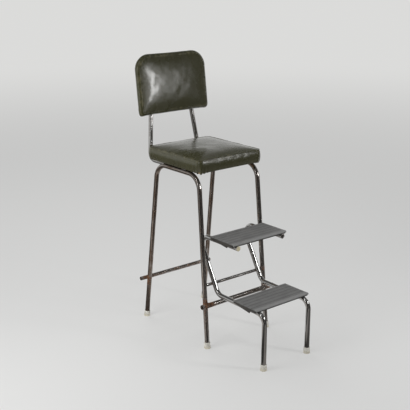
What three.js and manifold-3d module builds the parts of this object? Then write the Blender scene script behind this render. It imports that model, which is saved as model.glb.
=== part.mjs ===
// Step stool chair with a padded seat and back and two fold-away steps.
// Millimetres, +Z up. The sitter and the steps face -Y, and +X is on the right of someone facing +Y.
// While it is built, y = 0 lies under the front legs' feet. The last lines move the origin to the
// floor, in the middle of the footprint.

import * as THREE from 'three';
import { mergeVertices } from 'three/addons/utils/BufferGeometryUtils.js';
import Module from 'manifold-3d';

// Fits
const contactGap = 0.3; // left between curved or tilted pieces that touch
const holeClearance = 0.4; // round a shank, rod or tube that passes through a hole
const cutOverrun = 2; // how far a cutting tool reaches past what it cuts

// Tubes and rods
const tubeDiameter = 19.05;
const tubeWall = 1.5;
const rearBarDiameter = 16;
const pivotRodDiameter = 12.7;
const tubeSides = 18;
const boreSides = 8;
const degreesPerBendStep = 14;

// Side frames: one tube each, down the front, along under the seat and down the back
const railHeight = 686.5; // centre of the level top run
const legSpread = 9.2; // how much further out each leg stands at the floor than at rail height
const frameFootDepth = 408.5; // front feet to rear feet
const frontLegRake = 63; // how far the front leg leans back by rail height
const rearLegRake = 82;
const frameBendRadius = 63.5;

// Crossbars, welded across the outsides of the legs
const frontBarHeight = 180.6;
const rearBarHeight = 176.6;
const barOverhang = 33; // past the tube it is welded to

// Rubber tips
const tipDiameter = 26;
const tipTopDiameter = 24;
const tipHeight = 24;
const tipFloorThickness = 5;
const tipSides = 18;

// Seat
const seatWidth = 318;
const seatDepth = 332;
const seatFrontY = 46;
const seatOverhang = 10.2; // seat side past the rail's centre line
const seatEdgeHeight = 49; // board underside to top seam
const seatCrown = 17; // top seam to the middle of the top
const seatCornerRadius = 10;
const seatDrawIn = 2; // how far the lower edge is pulled in
const seatTopRound = 7;
const seatBoardThickness = 10;
const seatBoardInset = 4.5; // board edge to the cover's outside

// Flat straps welded across the rails, which carry the seat board and the back posts
const strapThickness = 3;
const strapWidth = 25;
const strapEndLap = 5; // past the rail's centre line
const frontStrapY = 150;
const rearStrapY = 300;

// Back posts: one tube each, forward under the straps and up behind the back
const postInset = 21.8; // rail centre line to the post's level run
const postSpacingAtBack = 181; // at the middle of the back
const postBehindSeat = 26.5; // seat's rear to the post's corner
const postBendRadius = 38;
const postFrontEndLap = 14; // past the front strap's centre
const postTopBelowBackTop = 62;
const backLeanDegrees = 7.1;

// Padded back
const backCentreHeight = 986.5;
const backWidth = 352;
const backHeight = 243;
const backTopRadius = 62;
const backBottomRadius = 16;
const backPanelThickness = 3;
const backPanelInset = 6;
const backBoardThickness = 9;
const backBoardInset = 5;
const backSeamInset = 12; // front seam to the outline
const backEdgeDepth = 21; // rear rim to front seam
const backCrown = 11; // front seam to the middle of the front
const backDrawIn = 3;

// Step unit: two bent tubes, two treads and the rod that it swings on
const pivotHeight = 254.5;
const upperRunHeight = 440;
const upperRunFrontY = -129; // the open ends, just ahead of the upper tread
const lowerRunHeight = 220;
const diagonalDegrees = 60.7; // from level
const stepBendRadius = 38;
const stepFootReach = 278; // in front of the chair's front feet
const rodEndInset = 3; // rod end to the leg tube's centre line

// Treads, measured over their mats
const treadClearance = 0.775; // tread's side to the leg that it passes, at rail height
const treadOverhang = 23.2; // tread's side past the step tube's centre line
const upperTreadDepth = 134;
const upperTreadFrontY = -126;
const lowerTreadDepth = 129;
const lowerTreadFrontY = -256;

// Tread pans: each is a sheet tray whose rear flange rests on the step tubes
const panSheet = 1.2;
const panCornerRadius = 6;
const panRearFlange = 5.5; // outside height of the turned-down edge
const panFrontFlange = 8.5;
const panCheekHeight = 18; // the side flanges' deepest place
const panCheekSetback = 33; // from the pan's front edge
const panCheekSlope = 5; // length of the short rise in front of it

// Tread mats
const matThickness = 3;
const matRibPitch = 6;
const matRibDepth = 1;
const matSmoothStrip = 16; // behind the front edge
const matNosingRadius = 4;
const matNosingThickness = 2.5; // where it hangs in front of the pan
const matNosingDrop = 4; // below the pan's top
const matSideInset = 1;

// End plug in the left step tube. The right tube has lost its plug.
const plugHead = 2;
const plugDepth = 14;

// Screws and bolts
const screwDiameter = 4.5;
const screwHeadDiameter = 9;
const screwHeadHeight = 2.4;
const seatScrewSpacing = 120;
const seatScrewBite = 8; // into the board
const boltDiameter = 6;
const boltHeadDiameter = 12;
const boltHeadHeight = 3.2;
const boltBite = 8;
const backScrewBite = 7;
const backScrewSpacing = 84; // up and down each post
const screwSides = 8;

// Shapes of the padding
const cornerSteps = 6;
const sideSteps = 6;
const crownRings = 5;

// Derived places. The frame and the treads take their width from the seat.
const railSpacing = seatWidth - 2 * seatOverhang;
const frameFootSpacing = railSpacing + 2 * legSpread;
const postSpacingAtRail = railSpacing - 2 * postInset;
const postCornerY = seatFrontY + seatDepth + postBehindSeat;
const treadWidth = railSpacing - tubeDiameter - 2 * treadClearance;
const stepTubeSpacing = treadWidth - 2 * treadOverhang;
const tubeRadius = tubeDiameter / 2;
const rearBarRadius = rearBarDiameter / 2;
const pivotRodRadius = pivotRodDiameter / 2;
const tipRadius = tipDiameter / 2;
const railTop = railHeight + tubeRadius;
const strapBottom = railTop + contactGap;
const boardBottom = strapBottom + strapThickness;
const seatCentreY = seatFrontY + seatDepth / 2;
const backLean = THREE.MathUtils.degToRad(backLeanDegrees);
const diagonalAngle = THREE.MathUtils.degToRad(diagonalDegrees);

const frontLegTilt = Math.atan2(frontLegRake, railHeight);
const rearLegTilt = Math.atan2(rearLegRake, railHeight);
const legSplay = Math.atan2((frameFootSpacing - railSpacing) / 2, railHeight);

function legHalfSpacing(height) {
  return THREE.MathUtils.lerp(frameFootSpacing, railSpacing, height / railHeight) / 2;
}

function frontLegY(height) {
  return frontLegRake * height / railHeight;
}

function rearLegY(height) {
  return frameFootDepth - rearLegRake * height / railHeight;
}

function postHalfSpacing(height) {
  const climb = (height - railHeight) / (backCentreHeight - railHeight);
  return THREE.MathUtils.lerp(postSpacingAtRail, postSpacingAtBack, climb) / 2;
}

function postY(height) {
  return postCornerY + (height - railHeight) * Math.tan(backLean);
}

// Materials
const chrome = new THREE.MeshStandardMaterial({ color: 0xa8a098, roughness: 0.18, metalness: 1 });
const vinyl = new THREE.MeshStandardMaterial({ color: 0x3f4134, roughness: 0.35, metalness: 0 });
const rubberWhite = new THREE.MeshStandardMaterial({ color: 0xe4e1d8, roughness: 0.6, metalness: 0 });
const matGrey = new THREE.MeshStandardMaterial({ color: 0x6a6c6a, roughness: 0.65, metalness: 0 });
const panPaint = new THREE.MeshStandardMaterial({ color: 0x3a3835, roughness: 0.45, metalness: 0.4 });
const plugCream = new THREE.MeshStandardMaterial({ color: 0xe2dabb, roughness: 0.5, metalness: 0 });
const plywood = new THREE.MeshStandardMaterial({ color: 0xa9855a, roughness: 0.75, metalness: 0 });
const hardboard = new THREE.MeshStandardMaterial({ color: 0x4a4636, roughness: 0.6, metalness: 0 });
const steel = new THREE.MeshStandardMaterial({ color: 0x8c8a86, roughness: 0.4, metalness: 0.9 });

// A tube's centre line with rounded corners. Its stations are the ends and the steps round each
// bend, so that straight runs stay straight and the section is only repeated where it turns.
class BentPath extends THREE.Curve {
  constructor(corners, bendRadius) {
    super();
    this.stations = [];
    const last = corners.length - 1;
    const heading = (from, to) => corners[to].clone().sub(corners[from]).normalize();
    this.stations.push({ point: corners[0], tangent: heading(0, 1) });
    for (let i = 1; i < last; i += 1) {
      this.addBend(corners[i], heading(i - 1, i), heading(i, i + 1), bendRadius);
    }
    this.stations.push({ point: corners[last], tangent: heading(last - 1, last) });
  }

  addBend(corner, arriving, leaving, bendRadius) {
    const turn = arriving.angleTo(leaving);
    const axis = arriving.clone().cross(leaving).normalize();
    const start = corner.clone().addScaledVector(arriving, -bendRadius * Math.tan(turn / 2));
    const toCentre = axis.clone().cross(arriving);
    const centre = start.clone().addScaledVector(toCentre, bendRadius);
    const steps = Math.ceil(THREE.MathUtils.radToDeg(turn) / degreesPerBendStep);
    for (let step = 0; step <= steps; step += 1) {
      const angle = turn * step / steps;
      const arm = start.clone().sub(centre).applyAxisAngle(axis, angle);
      const tangent = arriving.clone().applyAxisAngle(axis, angle);
      this.stations.push({ point: arm.add(centre), tangent });
    }
  }

  station(share) {
    return this.stations[Math.round(share * (this.stations.length - 1))];
  }

  getPoint(share, target = new THREE.Vector3()) {
    return target.copy(this.station(share).point);
  }

  getPointAt(share, target) {
    return this.getPoint(share, target);
  }

  getTangentAt(share, target = new THREE.Vector3()) {
    return target.copy(this.station(share).tangent);
  }
}

function circlePoints(radius, sides) {
  const points = [];
  for (let i = 0; i < sides; i += 1) {
    const angle = 2 * Math.PI * i / sides;
    points.push(new THREE.Vector2(radius * Math.cos(angle), radius * Math.sin(angle)));
  }
  return points;
}

function tubeAlong(path, diameter) {
  const section = new THREE.Shape(circlePoints(diameter / 2, tubeSides));
  section.holes.push(new THREE.Path(circlePoints(diameter / 2 - tubeWall, boreSides)));
  return sweep(section, path);
}

function rodAlong(path, diameter) {
  return sweep(new THREE.Shape(circlePoints(diameter / 2, tubeSides)), path);
}

function sweep(section, path) {
  const steps = path.stations.length - 1;
  return new THREE.ExtrudeGeometry(section, { steps, extrudePath: path, bevelEnabled: false });
}

function straightPath(start, end) {
  return new BentPath([start, end], tubeDiameter);
}

// Boolean work
const wasm = await Module();
wasm.setup();

function toSolid(geometry) {
  const bare = geometry.clone();
  bare.deleteAttribute('normal');
  bare.deleteAttribute('uv');
  const merged = mergeVertices(bare);
  return new wasm.Manifold(new wasm.Mesh({
    numProp: 3,
    vertProperties: new Float32Array(merged.attributes.position.array),
    triVerts: new Uint32Array(merged.index.array),
  }));
}

function toGeometry(solid) {
  const data = solid.getMesh();
  const geometry = new THREE.BufferGeometry();
  geometry.setAttribute('position', new THREE.BufferAttribute(new Float32Array(data.vertProperties), 3));
  geometry.setIndex(new THREE.BufferAttribute(new Uint32Array(data.triVerts), 1));
  geometry.computeVertexNormals();
  return geometry;
}

function cut(geometry, tools) {
  let solid = toSolid(geometry);
  for (const tool of tools) {
    solid = solid.subtract(toSolid(tool));
  }
  return toGeometry(solid);
}

// A closed skin over rings of equal point counts, which run anticlockwise seen from the end.
// It starts and ends at a middle point.
function loft(startPoint, rings, endPoint) {
  const count = rings[0].length;
  const positions = [startPoint, ...rings.flat(), endPoint];
  const index = [];
  const at = (ring, i) => 1 + ring * count + i % count;
  for (let i = 0; i < count; i += 1) {
    index.push(0, at(0, i + 1), at(0, i));
    for (let ring = 0; ring + 1 < rings.length; ring += 1) {
      index.push(at(ring, i), at(ring, i + 1), at(ring + 1, i + 1));
      index.push(at(ring, i), at(ring + 1, i + 1), at(ring + 1, i));
    }
    index.push(positions.length - 1, at(rings.length - 1, i), at(rings.length - 1, i + 1));
  }
  const geometry = new THREE.BufferGeometry().setFromPoints(positions);
  geometry.setIndex(index);
  geometry.computeVertexNormals();
  return geometry;
}

// A rectangle with rounded corners. The first radius is for the two corners at +Y. An inset draws
// the outline in and shrinks its corners in step. Padding also has steps along the straight sides.
function roundedOutline(width, height, topRadius, bottomRadius, inset = 0, straightSteps = 1) {
  const halfX = width / 2 - inset;
  const halfY = height / 2 - inset;
  const corners = [
    { sx: 1, sy: -1, from: -90, radius: bottomRadius },
    { sx: 1, sy: 1, from: 0, radius: topRadius },
    { sx: -1, sy: 1, from: 90, radius: topRadius },
    { sx: -1, sy: -1, from: 180, radius: bottomRadius },
  ];
  const arcs = corners.map(({ sx, sy, from, radius }) => {
    const drawn = radius * Math.min(halfX / (halfX + inset), halfY / (halfY + inset));
    const points = [];
    for (let step = 0; step <= cornerSteps; step += 1) {
      const angle = THREE.MathUtils.degToRad(from + 90 * step / cornerSteps);
      const x = sx * (halfX - drawn) + drawn * Math.cos(angle);
      const y = sy * (halfY - drawn) + drawn * Math.sin(angle);
      points.push(new THREE.Vector2(x, y));
    }
    return points;
  });
  const outline = [];
  arcs.forEach((arc, i) => {
    const end = arc[cornerSteps];
    const next = arcs[(i + 1) % arcs.length][0];
    outline.push(...arc);
    for (let step = 1; step < straightSteps; step += 1) {
      outline.push(end.clone().lerp(next, step / straightSteps));
    }
  });
  return outline;
}

function ringAt(outline, level, scale = 1) {
  return outline.map((point) => new THREE.Vector3(point.x * scale, point.y * scale, level));
}

// A domed front from the seam ring to the middle. It rises fast by the seam and flattens towards
// the middle, as stuffed padding does.
function crownTo(outline, seamLevel, crown) {
  const rings = [];
  for (let ring = 1; ring < crownRings; ring += 1) {
    const scale = 1 - ring / crownRings;
    rings.push(ringAt(outline, seamLevel + crown * (1 - scale * scale), scale));
  }
  return rings;
}

function slab(outline, thickness) {
  return new THREE.ExtrudeGeometry(new THREE.Shape(outline), { depth: thickness, bevelEnabled: false });
}

// A round-headed screw, head down, with its shank up from the seat at the origin
function screwGeometry(shank, head, headHeight, length) {
  const profile = [
    new THREE.Vector2(0, -headHeight),
    new THREE.Vector2(head / 4, -headHeight),
    new THREE.Vector2(head / 2, -headHeight / 3),
    new THREE.Vector2(head / 2, 0),
    new THREE.Vector2(shank / 2, 0),
    new THREE.Vector2(shank / 2, length - shank / 2),
    new THREE.Vector2(0, length),
  ];
  return new THREE.LatheGeometry(profile, screwSides);
}

function holeTool(radius, length) {
  const tool = new THREE.CylinderGeometry(radius, radius, length, screwSides);
  tool.rotateX(Math.PI / 2);
  return tool;
}

function makeMesh(name, geometry, material) {
  const mesh = new THREE.Mesh(geometry, material);
  mesh.name = name;
  return mesh;
}

const chair = new THREE.Group();
const sides = [['left', -1], ['right', 1]];

// Side frames, each with a hole in the front leg's inner wall for the pivot rod
function sideFrame(name, side) {
  const corner = (y, height) => new THREE.Vector3(side * legHalfSpacing(height), y, height);
  const path = new BentPath([
    corner(frontLegY(tipFloorThickness), tipFloorThickness),
    corner(frontLegY(railHeight), railHeight),
    corner(rearLegY(railHeight), railHeight),
    corner(rearLegY(tipFloorThickness), tipFloorThickness),
  ], frameBendRadius);
  const hole = new THREE.CylinderGeometry(
    pivotRodRadius + holeClearance,
    pivotRodRadius + holeClearance,
    tubeRadius + cutOverrun,
    tubeSides,
  );
  hole.rotateZ(Math.PI / 2);
  const holeCentreX = legHalfSpacing(pivotHeight) - (tubeRadius + cutOverrun) / 2;
  hole.translate(side * holeCentreX, frontLegY(pivotHeight), pivotHeight);
  return makeMesh(name, cut(tubeAlong(path, tubeDiameter), [hole]), chrome);
}

for (const [label, side] of sides) {
  chair.add(sideFrame(`${label}_side_frame`, side));
}

// Crossbars, open at both ends
function crossbar(name, diameter, y, height) {
  const halfLength = legHalfSpacing(height) + barOverhang;
  const path = straightPath(new THREE.Vector3(-halfLength, 0, 0), new THREE.Vector3(halfLength, 0, 0));
  const bar = makeMesh(name, tubeAlong(path, diameter), chrome);
  bar.position.set(0, y, height);
  return bar;
}

const frontBarY = frontLegY(frontBarHeight) - (tubeDiameter + contactGap) / Math.cos(frontLegTilt);
const rearBarReach = (tubeRadius + rearBarRadius + contactGap) / Math.cos(rearLegTilt);
const rearBarY = rearLegY(rearBarHeight) + rearBarReach;
chair.add(crossbar('front_crossbar', tubeDiameter, frontBarY, frontBarHeight));
chair.add(crossbar('rear_crossbar', rearBarDiameter, rearBarY, rearBarHeight));

// Rubber tips. Each is a cup on its tube's axis, cut flat where it stands on the floor.
function tipProfile() {
  const socketRadius = tubeRadius + contactGap;
  const socketFloor = tipFloorThickness - contactGap;
  const mouthRound = (tipTopDiameter / 2 - socketRadius) / 2;
  return [
    new THREE.Vector2(0, -tipFloorThickness),
    new THREE.Vector2(tipRadius, -tipFloorThickness),
    new THREE.Vector2(tipRadius, tipFloorThickness),
    new THREE.Vector2(tipTopDiameter / 2, tipHeight - mouthRound),
    new THREE.Vector2(socketRadius + mouthRound, tipHeight),
    new THREE.Vector2(socketRadius, tipHeight - mouthRound / 2),
    new THREE.Vector2(socketRadius, socketFloor),
    new THREE.Vector2(0, socketFloor),
  ];
}

function rubberTip(name, x, y, tiltBack, tiltOut) {
  const cup = new THREE.LatheGeometry(tipProfile(), tipSides);
  cup.rotateX(Math.PI / 2);
  cup.rotateX(-tiltBack);
  cup.rotateY(tiltOut);
  const floorCut = new THREE.BoxGeometry(2 * tipDiameter, 2 * tipDiameter, tipHeight);
  floorCut.translate(0, 0, -tipHeight / 2);
  const tip = makeMesh(name, cut(cup, [floorCut]), rubberWhite);
  tip.position.set(x, y, 0);
  return tip;
}

for (const [label, side] of sides) {
  const x = side * legHalfSpacing(0);
  chair.add(rubberTip(`front_${label}_tip`, x, frontLegY(0), frontLegTilt, -side * legSplay));
  chair.add(rubberTip(`rear_${label}_tip`, x, rearLegY(0), -rearLegTilt, -side * legSplay));
}

// Straps across the rails
const strapYs = [frontStrapY, rearStrapY];
const seatScrewXs = [-seatScrewSpacing / 2, seatScrewSpacing / 2];
const postRunXs = [-postSpacingAtRail / 2, postSpacingAtRail / 2];

function strap(name, y) {
  const length = railSpacing + 2 * strapEndLap;
  const bar = new THREE.BoxGeometry(length, strapWidth, strapThickness);
  bar.translate(0, 0, strapThickness / 2);
  const tool = (x, radius) => holeTool(radius, 2 * strapThickness + cutOverrun).translate(x, 0, 0);
  const holes = [
    ...seatScrewXs.map((x) => tool(x, screwDiameter / 2 + holeClearance)),
    ...postRunXs.map((x) => tool(x, boltDiameter / 2 + holeClearance)),
  ];
  const mesh = makeMesh(name, cut(bar, holes), steel);
  mesh.position.set(0, y, strapBottom);
  return mesh;
}

chair.add(strap('front_seat_strap', frontStrapY));
chair.add(strap('rear_seat_strap', rearStrapY));

// Seat board, with a blind hole for each screw and bolt
function seatBoard() {
  const outline = roundedOutline(seatWidth, seatDepth, seatCornerRadius, seatCornerRadius, seatBoardInset);
  const board = slab(outline, seatBoardThickness);
  const tools = [];
  for (const y of strapYs) {
    for (const x of seatScrewXs) {
      tools.push(holeTool(screwDiameter / 2 + holeClearance, 2 * (seatScrewBite + holeClearance)));
      tools.at(-1).translate(x, y - seatCentreY, 0);
    }
    for (const x of postRunXs) {
      tools.push(holeTool(boltDiameter / 2 + holeClearance, 2 * (boltBite + holeClearance)));
      tools.at(-1).translate(x, y - seatCentreY, 0);
    }
  }
  const mesh = makeMesh('seat_board', cut(board, tools), plywood);
  mesh.position.set(0, seatCentreY, boardBottom);
  return mesh;
}

chair.add(seatBoard());

// Seat cushion: foam and cover as one soft solid, with a pocket for the board. The sides are drawn
// in below, swell in the middle and round over at the top seam.
function seatCushion() {
  const outline = (inset) => (
    roundedOutline(seatWidth, seatDepth, seatCornerRadius, seatCornerRadius, inset, sideSteps)
  );
  const pocket = outline(seatBoardInset - contactGap);
  const ceiling = seatBoardThickness + contactGap;
  const shoulder = outline(seatTopRound);
  const shoulderLevel = seatEdgeHeight + seatTopRound / 2;
  const rings = [
    ringAt(pocket, ceiling),
    ringAt(pocket, contactGap),
    ringAt(outline(seatDrawIn), contactGap),
    ringAt(outline(seatDrawIn / 3), seatEdgeHeight / 5),
    ringAt(outline(0), seatEdgeHeight / 2),
    ringAt(outline(seatDrawIn / 3), seatEdgeHeight * 4 / 5),
    ringAt(outline(seatDrawIn * 2 / 3), seatEdgeHeight),
    ringAt(shoulder, shoulderLevel),
    ...crownTo(shoulder, shoulderLevel, seatCrown - seatTopRound / 2),
  ];
  const middle = new THREE.Vector3(0, 0, seatEdgeHeight + seatCrown);
  const cushion = makeMesh('seat_cushion', loft(new THREE.Vector3(0, 0, ceiling), rings, middle), vinyl);
  cushion.position.set(0, seatCentreY, boardBottom);
  return cushion;
}

chair.add(seatCushion());

// Screws up through the straps into the board
const strapLabels = ['front', 'rear'];
const screwHeadSeat = strapBottom - contactGap;
const seatScrewLength = boardBottom + seatScrewBite - screwHeadSeat;
strapYs.forEach((y, row) => {
  sides.forEach(([label], column) => {
    const screw = screwGeometry(screwDiameter, screwHeadDiameter, screwHeadHeight, seatScrewLength);
    screw.rotateX(Math.PI / 2);
    const mesh = makeMesh(`seat_screw_${strapLabels[row]}_${label}`, screw, steel);
    mesh.position.set(seatScrewXs[column], y, screwHeadSeat);
    chair.add(mesh);
  });
});

// Back posts
const backTopHeight = backCentreHeight + backHeight / 2 * Math.cos(backLean);
const postTopHeight = backTopHeight - postTopBelowBackTop;
const screwLevels = [-backScrewSpacing / 2, backScrewSpacing / 2];
const screwRowLabels = ['lower', 'upper'];
const screwCentreHeight = (postTopHeight + backCentreHeight - backHeight / 2) / 2;

function backScrewPlaces(side) {
  return screwLevels.map((level) => {
    const height = screwCentreHeight + level * Math.cos(backLean);
    return new THREE.Vector3(side * postHalfSpacing(height), postY(height), height);
  });
}

// Turns a tool or screw that points up so that it points forward, square to the leaning back
function pointForward(geometry) {
  return geometry.rotateX(Math.PI / 2 - backLean);
}

function backPost(name, side) {
  const runX = side * postSpacingAtRail / 2;
  const path = new BentPath([
    new THREE.Vector3(runX, frontStrapY - postFrontEndLap, railHeight),
    new THREE.Vector3(runX, postCornerY, railHeight),
    new THREE.Vector3(side * postHalfSpacing(postTopHeight), postY(postTopHeight), postTopHeight),
  ], postBendRadius);
  const throughLength = tubeDiameter + 2 * cutOverrun;
  const tools = strapYs.map((y) => {
    const tool = holeTool(boltDiameter / 2 + holeClearance, throughLength);
    return tool.translate(runX, y, railHeight);
  });
  for (const place of backScrewPlaces(side)) {
    const tool = pointForward(holeTool(screwDiameter / 2 + holeClearance, throughLength));
    tools.push(tool.translate(place.x, place.y, place.z));
  }
  return makeMesh(name, cut(tubeAlong(path, tubeDiameter), tools), chrome);
}

for (const [label, side] of sides) {
  chair.add(backPost(`${label}_back_post`, side));
}

// Bolts up through the posts and straps into the board
const boltHeadSeat = railHeight - tubeRadius - contactGap;
const boltLength = boardBottom + boltBite - boltHeadSeat;
strapYs.forEach((y, row) => {
  sides.forEach(([label], column) => {
    const bolt = screwGeometry(boltDiameter, boltHeadDiameter, boltHeadHeight, boltLength);
    bolt.rotateX(Math.PI / 2);
    const mesh = makeMesh(`back_post_bolt_${strapLabels[row]}_${label}`, bolt, steel);
    mesh.position.set(postRunXs[column], y, boltHeadSeat);
    chair.add(mesh);
  });
});

// The padded back, built in a group whose XY plane holds both posts and whose +Z faces the sitter
const back = new THREE.Group();
back.position.set(0, postY(backCentreHeight), backCentreHeight);
back.rotation.x = Math.PI / 2 - backLean;
chair.add(back);

const backPanelRear = tubeRadius + contactGap;
const backBoardRear = backPanelRear + backPanelThickness + contactGap;

function backOutline(inset, straightSteps = 1) {
  return roundedOutline(backWidth, backHeight, backTopRadius, backBottomRadius, inset, straightSteps);
}

function inBackFrame(place) {
  const leanLength = (place.z - backCentreHeight) / Math.cos(backLean);
  return new THREE.Vector2(place.x, leanLength);
}

function backPiece(name, inset, rear, thickness, material, holeDepth) {
  const tools = [];
  for (const [, side] of sides) {
    for (const place of backScrewPlaces(side)) {
      const spot = inBackFrame(place);
      const tool = holeTool(screwDiameter / 2 + holeClearance, 2 * holeDepth);
      tools.push(tool.translate(spot.x, spot.y, 0));
    }
  }
  const mesh = makeMesh(name, cut(slab(backOutline(inset), thickness), tools), material);
  mesh.position.z = rear;
  return mesh;
}

const panelHoleDepth = backPanelThickness + cutOverrun;
const boardHoleDepth = backScrewBite + holeClearance;
back.add(backPiece('backrest_back_panel', backPanelInset, backPanelRear, backPanelThickness, hardboard,
  panelHoleDepth));
back.add(backPiece('backrest_board', backBoardInset, backBoardRear, backBoardThickness, plywood,
  boardHoleDepth));

// Back cushion, with a pocket for the board and a front seam set in from the outline
function backCushion() {
  const outline = (inset) => backOutline(inset, sideSteps);
  const pocket = outline(backBoardInset - contactGap);
  const ceiling = backBoardThickness + contactGap;
  const seam = outline(backSeamInset);
  const rings = [
    ringAt(pocket, ceiling),
    ringAt(pocket, contactGap),
    ringAt(outline(backDrawIn), contactGap),
    ringAt(outline(0), backEdgeDepth / 3),
    ringAt(outline(backSeamInset / 6), backEdgeDepth * 2 / 3),
    ringAt(outline(backSeamInset / 2), backEdgeDepth * 9 / 10),
    ringAt(seam, backEdgeDepth),
    ...crownTo(seam, backEdgeDepth, backCrown),
  ];
  const middle = new THREE.Vector3(0, 0, backEdgeDepth + backCrown);
  const cushion = loft(new THREE.Vector3(0, 0, ceiling), rings, middle);
  const mesh = makeMesh('backrest_cushion', cushion, vinyl);
  mesh.position.z = backBoardRear;
  return mesh;
}

back.add(backCushion());

// Screws forward through the posts and the panel into the board
const backScrewHeadSeat = -tubeRadius - contactGap;
const backScrewLength = backBoardRear + backScrewBite - backScrewHeadSeat;
for (const [label, side] of sides) {
  backScrewPlaces(side).forEach((place, row) => {
    const spot = inBackFrame(place);
    const screw = screwGeometry(screwDiameter, screwHeadDiameter, screwHeadHeight, backScrewLength);
    screw.rotateX(Math.PI / 2);
    const mesh = makeMesh(`backrest_screw_${screwRowLabels[row]}_${label}`, screw, steel);
    mesh.position.set(spot.x, spot.y, backScrewHeadSeat);
    back.add(mesh);
  });
}

// Step unit. Its tubes lie in front of the pivot rod, touching it, so their diagonal line is worked
// out from the rod's place.
const pivotY = frontLegY(pivotHeight);
const rodToDiagonal = pivotRodRadius + tubeRadius + contactGap;

function diagonalY(height) {
  const linePointY = pivotY - rodToDiagonal * Math.sin(diagonalAngle);
  const linePointZ = pivotHeight + rodToDiagonal * Math.cos(diagonalAngle);
  return linePointY + (height - linePointZ) / Math.tan(diagonalAngle);
}

function stepPath(side) {
  const corner = (y, height) => new THREE.Vector3(side * stepTubeSpacing / 2, y, height);
  return new BentPath([
    corner(upperRunFrontY, upperRunHeight),
    corner(diagonalY(upperRunHeight), upperRunHeight),
    corner(diagonalY(lowerRunHeight), lowerRunHeight),
    corner(-stepFootReach, lowerRunHeight),
    corner(-stepFootReach, tipFloorThickness),
  ], stepBendRadius);
}

for (const [label, side] of sides) {
  chair.add(makeMesh(`${label}_step_tube`, tubeAlong(stepPath(side), tubeDiameter), chrome));
  chair.add(rubberTip(`${label}_step_tip`, side * stepTubeSpacing / 2, -stepFootReach, 0, 0));
}

// Pivot rod, which turns in the front legs
function pivotRod() {
  const halfLength = legHalfSpacing(pivotHeight) - rodEndInset;
  const path = straightPath(new THREE.Vector3(-halfLength, 0, 0), new THREE.Vector3(halfLength, 0, 0));
  const rod = makeMesh('step_pivot_rod', rodAlong(path, pivotRodDiameter), chrome);
  rod.position.set(0, pivotY, pivotHeight);
  return rod;
}

chair.add(pivotRod());

// Extrudes a side view, drawn with x to the rear and y up, across the unit's width
function acrossWidth(sideView, width) {
  const geometry = new THREE.ExtrudeGeometry(sideView, {
    depth: width,
    bevelEnabled: false,
    curveSegments: cornerSteps,
  });
  geometry.rotateY(Math.PI / 2);
  geometry.rotateX(Math.PI / 2);
  return geometry.translate(-width / 2, 0, 0);
}

// What lies below a pan's turned-down edge, seen from the side with the origin at its top front edge.
// The edge is deepest a little behind the front and rises slowly towards the rear.
function belowFlange(depth) {
  const lowest = -panCheekHeight - cutOverrun;
  return new THREE.Shape([
    new THREE.Vector2(-cutOverrun, lowest),
    new THREE.Vector2(depth + cutOverrun, lowest),
    new THREE.Vector2(depth + cutOverrun, -panRearFlange),
    new THREE.Vector2(depth - panCornerRadius, -panRearFlange),
    new THREE.Vector2(panCheekSetback, -panCheekHeight),
    new THREE.Vector2(panCheekSetback - panCheekSlope, -panFrontFlange),
    new THREE.Vector2(-cutOverrun, -panFrontFlange),
  ]);
}

// Tread pans, notched where the step tubes pass
const panFrontSetback = matNosingThickness + contactGap;

function panTop(runHeight) {
  return runHeight + tubeRadius + contactGap + panRearFlange;
}

function treadPan(name, frontY, treadDepth, runHeight) {
  const depth = treadDepth - panFrontSetback;
  const outline = (inset) => roundedOutline(treadWidth, depth, panCornerRadius, panCornerRadius, inset);
  const tray = slab(outline(0), panCheekHeight);
  const hollow = slab(outline(panSheet), panCheekHeight).translate(0, 0, -panSheet);
  const waste = acrossWidth(belowFlange(depth), treadWidth + 2 * cutOverrun);
  waste.translate(0, -depth / 2, panCheekHeight);
  for (const piece of [tray, hollow, waste]) {
    piece.translate(0, frontY + panFrontSetback + depth / 2, panTop(runHeight) - panCheekHeight);
  }
  const notches = sides.map(([, side]) => rodAlong(stepPath(side), tubeDiameter + 2 * holeClearance));
  return makeMesh(name, cut(tray, [hollow, waste, ...notches]), panPaint);
}

// A tread mat seen from the side, with the origin on the pan's top below its front face. It has ribs
// across the tread, a smooth strip at each end, and a nosing that rolls down over the pan's edge.
function matShape(depth) {
  const grooveHeight = matThickness - matRibDepth;
  const ribCount = Math.floor((depth - matSmoothStrip) / matRibPitch);
  const rearOfRibs = matSmoothStrip + ribCount * matRibPitch;
  const shape = new THREE.Shape();
  shape.moveTo(0, -matNosingDrop);
  shape.lineTo(matNosingThickness, -matNosingDrop);
  shape.lineTo(matNosingThickness, 0);
  shape.lineTo(depth, 0);
  shape.lineTo(depth, matThickness);
  shape.lineTo(rearOfRibs, matThickness);
  for (let rib = ribCount; rib > 0; rib -= 1) {
    const rear = matSmoothStrip + rib * matRibPitch;
    shape.lineTo(rear - matRibPitch / 4, grooveHeight);
    shape.lineTo(rear - matRibPitch / 2, grooveHeight);
    shape.lineTo(rear - matRibPitch * 3 / 4, matThickness);
    shape.lineTo(rear - matRibPitch, matThickness);
  }
  const nosingCentre = matThickness - matNosingRadius;
  shape.lineTo(matNosingRadius, matThickness);
  shape.absarc(matNosingRadius, nosingCentre, matNosingRadius, Math.PI / 2, Math.PI, false);
  return shape;
}

function treadMat(name, frontY, depth, runHeight) {
  const mat = acrossWidth(matShape(depth), treadWidth - 2 * matSideInset);
  const mesh = makeMesh(name, mat, matGrey);
  mesh.position.set(0, frontY, panTop(runHeight));
  return mesh;
}

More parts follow.
